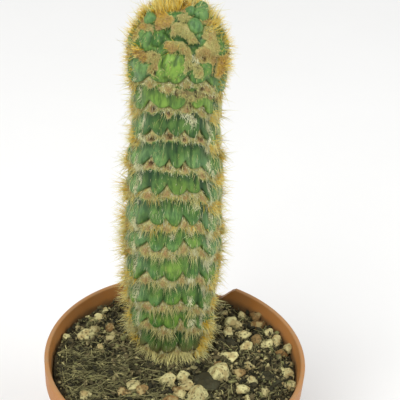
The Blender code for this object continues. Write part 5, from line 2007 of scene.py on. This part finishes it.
class PieceOperator:
    """Shared by the operators: each runs its steps and then reports that it is finished."""

    bl_options = {"REGISTER", "UNDO"}
    steps = ()

    def execute(self, context):
        for step in self.steps:
            step()
        return {"FINISHED"}


class TRICHOCEREUS_OT_effects(PieceOperator, bpy.types.Operator):
    """Makes the shader groups that the materials share"""

    bl_idname = "trichocereus.effects"
    bl_label = "Shared effects"
    steps = (build_mottle_group, build_grain_group, build_dust_group)


class TRICHOCEREUS_OT_stage(PieceOperator, bpy.types.Operator):
    """Makes the floor, the soft light and the camera"""

    bl_idname = "trichocereus.stage"
    bl_label = "Stage"
    steps = (make_floor, make_lights, make_camera)


class TRICHOCEREUS_OT_pot(PieceOperator, bpy.types.Operator):
    """Makes the pot with its broken rim"""

    bl_idname = "trichocereus.pot"
    bl_label = "Pot"
    steps = (make_pot,)


class TRICHOCEREUS_OT_mix(PieceOperator, bpy.types.Operator):
    """Makes the potting mix: its bed, crumbs, fibres and grit"""

    bl_idname = "trichocereus.mix"
    bl_label = "Potting mix"
    steps = (make_soil_bed, make_crumbs, make_fibres, make_grit)


class TRICHOCEREUS_OT_stones(PieceOperator, bpy.types.Operator):
    """Makes the pumice, lapilli and lava stones"""

    bl_idname = "trichocereus.stones"
    bl_label = "Stones"
    steps = (make_stones, make_chips)


class TRICHOCEREUS_OT_skin(PieceOperator, bpy.types.Operator):
    """Makes the stem's skin and the round growths of its head"""

    bl_idname = "trichocereus.skin"
    bl_label = "Skin"
    steps = (make_skin, make_growths)


class TRICHOCEREUS_OT_felt(PieceOperator, bpy.types.Operator):
    """Makes the hairs of the felt"""

    bl_idname = "trichocereus.felt"
    bl_label = "Felt"
    steps = (make_wool,)


class TRICHOCEREUS_OT_spines(PieceOperator, bpy.types.Operator):
    """Makes the spines"""

    bl_idname = "trichocereus.spines"
    bl_label = "Spines"
    steps = (make_spines,)


OPERATORS = (
    TRICHOCEREUS_OT_effects, TRICHOCEREUS_OT_stage, TRICHOCEREUS_OT_pot, TRICHOCEREUS_OT_mix,
    TRICHOCEREUS_OT_stones, TRICHOCEREUS_OT_skin, TRICHOCEREUS_OT_felt, TRICHOCEREUS_OT_spines,
)
SETTINGS = {
    "trichocereus_plant": PlantSettings,
    "trichocereus_pot": PotSettings,
    "trichocereus_mix": MixSettings,
    "trichocereus_stage": StageSettings,
}


class TRICHOCEREUS_PT_panel(bpy.types.Panel):
    """Lists the pieces and their settings"""

    bl_idname = "TRICHOCEREUS_PT_panel"
    bl_label = "Trichocereus"
    bl_space_type = "VIEW_3D"
    bl_region_type = "UI"
    bl_category = "Trichocereus"

    def draw(self, context):
        for operator in OPERATORS:
            self.layout.operator(operator.bl_idname)
        for name, group in SETTINGS.items():
            box = self.layout.box()
            for prop in group.__annotations__:
                box.prop(getattr(context.scene, name), prop)


def register():
    for group in SETTINGS.values():
        bpy.utils.register_class(group)
    for name, group in SETTINGS.items():
        setattr(bpy.types.Scene, name, PointerProperty(type=group))
    for operator in OPERATORS:
        bpy.utils.register_class(operator)
    bpy.utils.register_class(TRICHOCEREUS_PT_panel)


def unregister():
    bpy.utils.unregister_class(TRICHOCEREUS_PT_panel)
    for operator in reversed(OPERATORS):
        bpy.utils.unregister_class(operator)
    for name, group in SETTINGS.items():
        delattr(bpy.types.Scene, name)
        bpy.utils.unregister_class(group)


def main():
    register()
    bpy.ops.trichocereus.effects()
    bpy.ops.trichocereus.stage()
    bpy.ops.trichocereus.pot()
    bpy.ops.trichocereus.mix()
    bpy.ops.trichocereus.stones()
    bpy.ops.trichocereus.skin()
    bpy.ops.trichocereus.felt()
    bpy.ops.trichocereus.spines()


if __name__ == "__main__":
    main()
